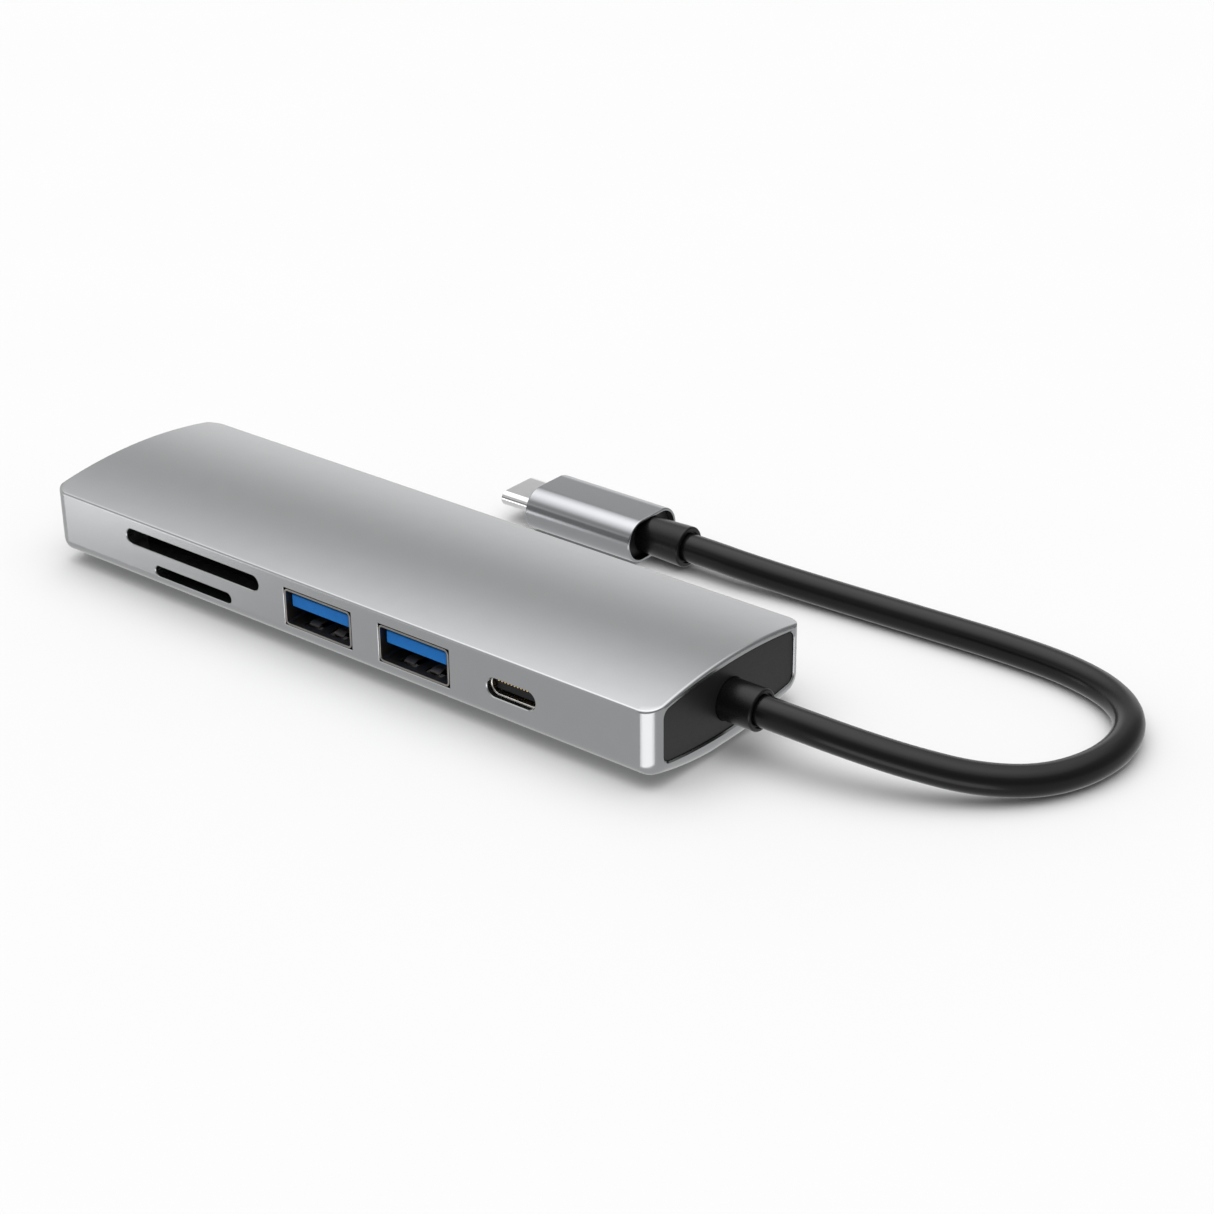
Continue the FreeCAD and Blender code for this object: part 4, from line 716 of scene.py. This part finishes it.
def make_cap(name, node, side, hole):
    """The panel in one end of the sleeve; side is 1 at the lead's end and -1 at the other."""
    low, high = extent(node)
    panel = dict(CAVITY)
    for size in ("half_width", "rise_low", "rise_high"):
        panel[size] -= PANEL_GAP
    face = high.x if side > 0 else low.x
    inner = face - side * CAP_DEPTH
    skin = slab(new_skin(), arch(**panel), inner, face, "x", PANEL_EDGE)
    path = [(inner - side * HOLE_OVERRUN, 0), (face - side * HOLE_EDGE, 0),
            (face + side * HOLE_OVERRUN, -HOLE_OVERRUN - HOLE_EDGE)]
    cutter = sweep(new_skin(), hole, path, "x")
    piece(name, skin, "hub", "black_plastic", [node], [cutter])


make_cap("cap_lead_end", "end_cap_lead", 1, disc(0, MIDDLE, HUB_COLLAR_RADIUS + HUB_COLLAR_GAP))
make_cap("cap_hdmi_end", "end_cap_hdmi", -1, hdmi_outline(PANEL_GAP))


# ---------------------------------------------------------------- USB-A sockets
USB_A_DEPTH = 13.8
USB_A_CORNER = 0.75
USB_A_RIM = 0.06
USB_A_BLOCK = 3.0
BLOCK_GAP = 0.1        # between a can's inside and the block in its back
BLOCK_EDGE = 0.05
BLOCK_OVERLAP = 0.1    # how far a tongue reaches into its block
TONGUE_RECESS = 0.65
TONGUE_SIZE = (11.3, 1.95)
TONGUE_CORNER = 0.22
TONGUE_EDGE = 0.2
WINDOW_OFFSET = 2.45
WINDOW_SIZE = (3.3, 6.6)
WINDOW_START = 1.1
WINDOW_CORNER = 0.35
GROOVE_SIZE = (1.3, 7.3, 1.3)
GROOVE_Y = -10.15
GROOVE_RISE = 0.35
CONTACT_OFFSETS = (-3.5, -1.0, 1.0, 3.5)
CONTACT_STRIP = (0.18, 0.9)    # thickness and width
# Y, and height above the socket's middle, from a contact's root to its lip.
CONTACT_LINE = ((-6.6, 0.55), (-9.5, 0.35), (-12.2, -0.3), (-13.0, -0.05), (-13.3, 0.2))
LATCH_STRIP = (0.25, 1.9)
LATCH_LIFT = 0.45
LATCH_ROOT_GAP = 0.1
LATCH_TIP_GAP = 0.5


def box_skin(centre, spans, ease=TIGHT_CORNER):
    """A block with its four upright edges eased."""
    outline = rounded(*centre[:2], *spans[:2], ease, 2)
    low, high = centre[2] - spans[2] / 2, centre[2] + spans[2] / 2
    return sweep(new_skin(), outline, [(low, 0), (high, 0)], "z")


def make_usb_a_can(name, middle, back):
    outline = rounded(middle, USB_A_Z, *USB_A_SIZE, USB_A_CORNER)
    skin = tube(new_skin(), outline, FRONT, back, SHEET, "y", USB_A_RIM)
    window_y = FRONT + WINDOW_START + WINDOW_SIZE[1] / 2
    windows = []
    for sign in (-1, 1):
        centre = (middle + sign * WINDOW_OFFSET, window_y, USB_A_Z)
        windows.append(box_skin(centre, (*WINDOW_SIZE, USB_A_SIZE[1] + 1), WINDOW_CORNER))
    # The can wears the darker copy of the plated steel, whose darkness is painted shade.
    piece(f"{name}_can", skin, "hub", "plated_steel", [f"{name}_shell"], windows, SHADED_SOCKET_STEEL)


def make_usb_a_tongue(name, middle, back):
    inside = [length - 2 * SHEET - BLOCK_GAP for length in USB_A_SIZE]
    block = rounded(middle, USB_A_Z, *inside, USB_A_CORNER - SHEET)
    skin = slab(new_skin(), block, back - USB_A_BLOCK, back, "y", BLOCK_EDGE)
    tongue = rounded(middle, USB_A_Z + TONGUE_SIZE[1] / 2, *TONGUE_SIZE, TONGUE_CORNER, 4)
    root = back - (USB_A_BLOCK - BLOCK_OVERLAP)
    slab(skin, tongue, FRONT + TONGUE_RECESS, root, "y", TONGUE_EDGE)
    grooves = []
    for offset in CONTACT_OFFSETS:
        grooves.append(box_skin((middle + offset, GROOVE_Y, USB_A_Z + GROOVE_RISE), GROOVE_SIZE))
    piece(f"{name}_tongue", skin, "hub", "blue_plastic", [f"{name}_insulator"], grooves)


def make_usb_a_springs(name, middle):
    skin = new_skin()
    line = [(y, USB_A_Z + rise) for y, rise in CONTACT_LINE]
    for offset in CONTACT_OFFSETS:
        ribbon(skin, line, *CONTACT_STRIP, middle + offset)
    body = f"{name}_contact_springs"
    piece(f"{name}_contacts", skin, body, "contact_gold", [body])

    floor = USB_A_Z - USB_A_SIZE[1] / 2 + SHEET / 2
    root = FRONT + WINDOW_START + WINDOW_SIZE[1] - LATCH_ROOT_GAP
    tip = FRONT + WINDOW_START + LATCH_TIP_GAP
    # Flat at the root, up to the crown and down to the lip.
    line = [(root, floor), (root - 1, floor), (root - 2.6, floor + LATCH_LIFT * 0.45),
            (tip + 1.2, floor + LATCH_LIFT), (tip + 0.6, floor + LATCH_LIFT * 0.85),
            (tip, floor + 0.12)]
    skin = new_skin()
    for sign in (-1, 1):
        ribbon(skin, line, *LATCH_STRIP, middle + sign * WINDOW_OFFSET)
    body = f"{name}_latch_springs"
    piece(f"{name}_latches", skin, body, "spring_steel", [body])


for side in USB_A_SIDES:
    make_usb_a_can(f"usb_a_{side}", usb_a_x[side], FRONT + USB_A_DEPTH)
    make_usb_a_tongue(f"usb_a_{side}", usb_a_x[side], FRONT + USB_A_DEPTH)
    make_usb_a_springs(f"usb_a_{side}", usb_a_x[side])


# ---------------------------------------------------------------- USB-C socket
USB_C_DEPTH = 7.4
USB_C_BLOCK = 1.6
USB_C_TONGUE = (6.7, 1.15)
USB_C_TONGUE_RECESS = 0.15
USB_C_TONGUE_EDGE = 0.08
SLIM_CORNER = 0.15
CAN_RIM = 0.09


def make_usb_c():
    mouth = FRONT + USB_C_RECESS
    back = mouth + USB_C_DEPTH
    outline = stadium(usb_c_x, USB_C_Z, *USB_C_SHELL)
    skin = tube(new_skin(), outline, mouth, back, SHEET, "y", CAN_RIM)
    piece("usb_c_can", skin, "hub", "plated_steel", ["usb_c_shell"])
    inside = [length - 2 * SHEET - BLOCK_GAP for length in USB_C_SHELL]
    block = stadium(usb_c_x, USB_C_Z, *inside)
    skin = slab(new_skin(), block, back - USB_C_BLOCK, back, "y", BLOCK_EDGE)
    tongue = rounded(usb_c_x, USB_C_Z, *USB_C_TONGUE, SLIM_CORNER, 3)
    root = back - (USB_C_BLOCK - BLOCK_OVERLAP)
    slab(skin, tongue, mouth + USB_C_TONGUE_RECESS, root, "y", USB_C_TONGUE_EDGE)
    piece("usb_c_tongue", skin, "hub", "socket_plastic", ["usb_c_insulator"])


make_usb_c()


# ---------------------------------------------------------------- HDMI socket
HDMI_WINDOW_DEPTH = 6.0
HDMI_WINDOW_OFFSET = 3.6
HDMI_WINDOW_SIZE = (6.0, 2.6, 1.6)
HDMI_WINDOW_CORNER = 0.3
HDMI_BLOCK = 2.2
HDMI_TONGUE = (10.8, 1.5)
HDMI_TONGUE_RISE = 0.25
HDMI_TONGUE_EDGE = 0.12


def make_hdmi():
    low, high = extent("hdmi_shell")
    skin = tube(new_skin(), hdmi_outline(), low.x, high.x, SHEET, "x", CAN_RIM)
    windows = []
    for sign in (-1, 1):
        centre = (low.x + HDMI_WINDOW_DEPTH, sign * HDMI_WINDOW_OFFSET, HDMI_Z + HDMI_SIZE[1] / 2)
        windows.append(box_skin(centre, HDMI_WINDOW_SIZE, HDMI_WINDOW_CORNER))
    piece("hdmi_can", skin, "hub", "plated_steel", ["hdmi_shell"], windows)
    low, high = extent("hdmi_insulator")
    block = hdmi_outline(-SHEET - BLOCK_GAP / 2)
    skin = slab(new_skin(), block, high.x - HDMI_BLOCK, high.x, "x", BLOCK_EDGE)
    tongue = rounded(0, HDMI_Z + HDMI_TONGUE_RISE, *HDMI_TONGUE, SLIM_CORNER, 3)
    slab(skin, tongue, low.x, high.x - (HDMI_BLOCK - BLOCK_OVERLAP), "x", HDMI_TONGUE_EDGE)
    piece("hdmi_tongue", skin, "hub", "socket_plastic", ["hdmi_insulator"])


make_hdmi()


# ---------------------------------------------------------------- strain reliefs
NEAR_AXIS = 0.01    # a ring of no radius would fall together
COLLAR_EDGE = 0.3
COLLAR_SEAT_RADIUS = 2.5
COLLAR_SEAT_DEPTH = 0.4
COLLAR_SEAT_EDGES = (0.06, 0.04)
PLUG_COLLAR_BASE = 2.95
PLUG_COLLAR_ROOT = 2.2


def collar_profile(base, reach, radii, root):
    """A short round sleeve on the lead, from its hidden root to the seat that the lead enters.

    root is where the root starts and its radius, and radii are the sleeve's at its base and end.
    """
    start, start_radius = root
    mouth, floor = COLLAR_SEAT_EDGES
    return [(start, NEAR_AXIS, 0), (start, start_radius, 0), (base, start_radius, 0),
            (base, radii[0], 0), (reach, radii[1], COLLAR_EDGE),
            (reach, COLLAR_SEAT_RADIUS, mouth),
            (reach - COLLAR_SEAT_DEPTH, COLLAR_SEAT_RADIUS, floor),
            (reach - COLLAR_SEAT_DEPTH, NEAR_AXIS, 0)]


def make_collars():
    low, high = extent("hub_strain_relief")
    base = extent("end_cap_lead")[1].x - CAP_DEPTH
    radii = (HUB_COLLAR_RADIUS, HUB_COLLAR_RADIUS)
    profile = collar_profile(base, high.x, radii, (low.x, (high.z - low.z) / 2))
    skin = turned(new_skin(), 0, MIDDLE, profile)
    at_hub = piece("hub_collar", skin, "hub", "black_plastic", ["hub_strain_relief"],
                   surface=RUBBER)
    low, high = extent("plug_strain_relief")
    middle = (low + high) / 2
    base = extent("plug_mould_lower")[1].x
    radii = (PLUG_COLLAR_BASE, (high.z - low.z) / 2)
    profile = collar_profile(base, high.x, radii, (low.x, PLUG_COLLAR_ROOT))
    skin = turned(new_skin(), middle.y, middle.z, profile)
    at_plug = piece("plug_collar", skin, "hub", "black_plastic", ["plug_strain_relief"],
                    surface=RUBBER)
    return at_hub, at_plug


hub_collar, plug_collar = make_collars()


# ---------------------------------------------------------------- plug
# Edges are the rounding of the rear outer, front outer, front inner and rear inner rim, where the
# rear is the end with the lower X.
PLUG_WALL = 0.45
PLUG_EDGES = (0.28, 0.22, 0.1, 0.1)
PLUG_STEPS = 32
TIP_WALL = 0.25
TIP_EDGES = (0.14, 0.05, 0.05, 0.06)
TIP_STEPS = 20


def round_sleeve(name, slot, node, middle, wall, edges, steps):
    """A hollow stadium as long, wide and high as a CAD node, about the plug's middle line."""
    low, high = extent(node)
    size = high - low
    corners = ((low.x, 0), (high.x, 0), (high.x, wall), (low.x, wall))
    path = [(*corner, edge) for corner, edge in zip(corners, edges)]
    outline = stadium(middle.y, middle.z, size.y, size.z, steps)
    skin = sweep(new_skin(), outline, eased(path), "x", closed=True)
    return piece(name, skin, "hub", slot, [node])


def make_plug():
    low, high = extent("plug_sleeve")
    middle = (low + high) / 2
    sleeve = round_sleeve("plug_body", "plug_metal", "plug_sleeve", middle, PLUG_WALL, PLUG_EDGES,
                          PLUG_STEPS)
    tip = round_sleeve("plug_tip", "tip_metal", "plug_tip_shell", middle, TIP_WALL, TIP_EDGES,
                       TIP_STEPS)
    return sleeve, tip


plug_body, plug_tip = make_plug()


# ---------------------------------------------------------------- CAD nodes that show as they are
for entry in frame["record"]["subparts"]:
    name = entry["node"]
    if not nodes[name].hide_render:
        dress(name, entry["material_slot"])


# ---------------------------------------------------------------- floor and light
FLOOR_REACH = 3000
FLOOR_CELLS = 8


def make_floor():
    skin = new_skin()
    bmesh.ops.create_grid(skin, x_segments=FLOOR_CELLS, y_segments=FLOOR_CELLS, size=FLOOR_REACH)
    floor = loose_object("floor", skin)
    floor.data.transform(Matrix.Scale(MM, 4))
    floor.data.materials.append(finish("floor", (0.582, 0.582, 0.582), roughness=0.6, spread=0.02,
                                       grain=300, depth=0.0, strength=0.0, mottle=0.003,
                                       mottle_scale=20, specular=0.0))
    floor.visible_glossy = False
    floor.visible_shadow = False


def softbox(name, place, target, size, brightness):
    """A rectangular light with a face of the given brightness, seen only in reflections."""
    data = bpy.data.lights.new(name, "AREA")
    data.shape = "RECTANGLE"
    data.size, data.size_y = size
    data.energy = brightness * size[0] * size[1] * math.pi
    box = bpy.data.objects.new(name, data)
    scene.collection.objects.link(box)
    heading = Vector(target) - Vector(place)
    turn = heading.to_track_quat("-Z", "Y").to_matrix().to_4x4()
    box.matrix_world = Matrix.Translation(place) @ turn
    box.visible_diffuse = False


# Brightness of the studio's surroundings by the sine of the elevation, first behind the hub and
# then in front of it.
BACK_GLOW = ((-1.0, 0.85), (-0.05, 0.85), (0.05, 1.35), (0.2, 1.3), (0.34, 1.05), (0.44, 0.64),
             (0.52, 0.64), (0.59, 1.0), (0.65, 1.5), (0.72, 2.1), (0.85, 3.4), (1.0, 3.6))
FRONT_GLOW = ((-1.0, 0.85), (-0.1, 0.8), (0.0, 0.45), (0.3, 0.35), (0.6, 0.5), (0.8, 1.8),
              (1.0, 3.6))
BACK_HEADING = (-0.98, 0.2, 0.0)
BACK_SHARE = (0.1, 0.5)    # cosines from the back's heading between which one turns into the other
BRIGHTEST = 3.6


def make_world():
    """Soft surroundings: a pale backdrop, a darker front and a large bright ceiling."""
    world = bpy.data.worlds.new("studio")
    world.use_nodes = True
    tree = world.node_tree
    background = tree.nodes["Background"]
    background.inputs["Strength"].default_value = BRIGHTEST
    heading = tree.nodes.new("ShaderNodeTexCoord").outputs["Generated"]
    split = tree.nodes.new("ShaderNodeSeparateXYZ")
    tree.links.new(heading, split.inputs["Vector"])
    height = tree.nodes.new("ShaderNodeMapRange")
    height.inputs["From Min"].default_value = -1
    tree.links.new(split.outputs["Z"], height.inputs["Value"])
    glows = []
    for stops in (FRONT_GLOW, BACK_GLOW):
        ramp = tree.nodes.new("ShaderNodeValToRGB")
        ramp.color_ramp.interpolation = "EASE"
        stop_list = ramp.color_ramp.elements
        while len(stop_list) < len(stops):
            stop_list.new(0.5)
        for stop, (sine, glow) in zip(stop_list, stops):
            stop.position = (sine + 1) / 2
            stop.color = (*[glow / BRIGHTEST] * 3, 1)
        tree.links.new(height.outputs["Result"], ramp.inputs["Fac"])
        glows.append(ramp.outputs["Color"])
    facing = tree.nodes.new("ShaderNodeVectorMath")
    facing.operation = "DOT_PRODUCT"
    facing.inputs[1].default_value = BACK_HEADING
    tree.links.new(heading, facing.inputs[0])
    share = tree.nodes.new("ShaderNodeMapRange")
    share.interpolation_type = "SMOOTHSTEP"
    share.inputs["From Min"].default_value = BACK_SHARE[0]
    share.inputs["From Max"].default_value = BACK_SHARE[1]
    tree.links.new(facing.outputs["Value"], share.inputs["Value"])
    mix = tree.nodes.new("ShaderNodeMix")
    mix.data_type = "RGBA"
    tree.links.new(share.outputs["Result"], mix.inputs["Factor"])
    tree.links.new(glows[0], mix.inputs["A"])
    tree.links.new(glows[1], mix.inputs["B"])
    tree.links.new(mix.outputs["Result"], background.inputs["Color"])
    scene.world = world


def make_light():
    make_world()
    softbox("left_low_box", place=(-0.1749, -0.1453, -0.035), target=(-0.05, -0.017, 0.007),
            size=(0.0585, 0.07), brightness=2.3)
    softbox("corner_box", place=(0.154, -0.222, -0.114), target=(0.058, -0.016, 0.007),
            size=(0.318, 0.12), brightness=2.2)
    scene.view_settings.view_transform = "Standard"


make_floor()
make_light()
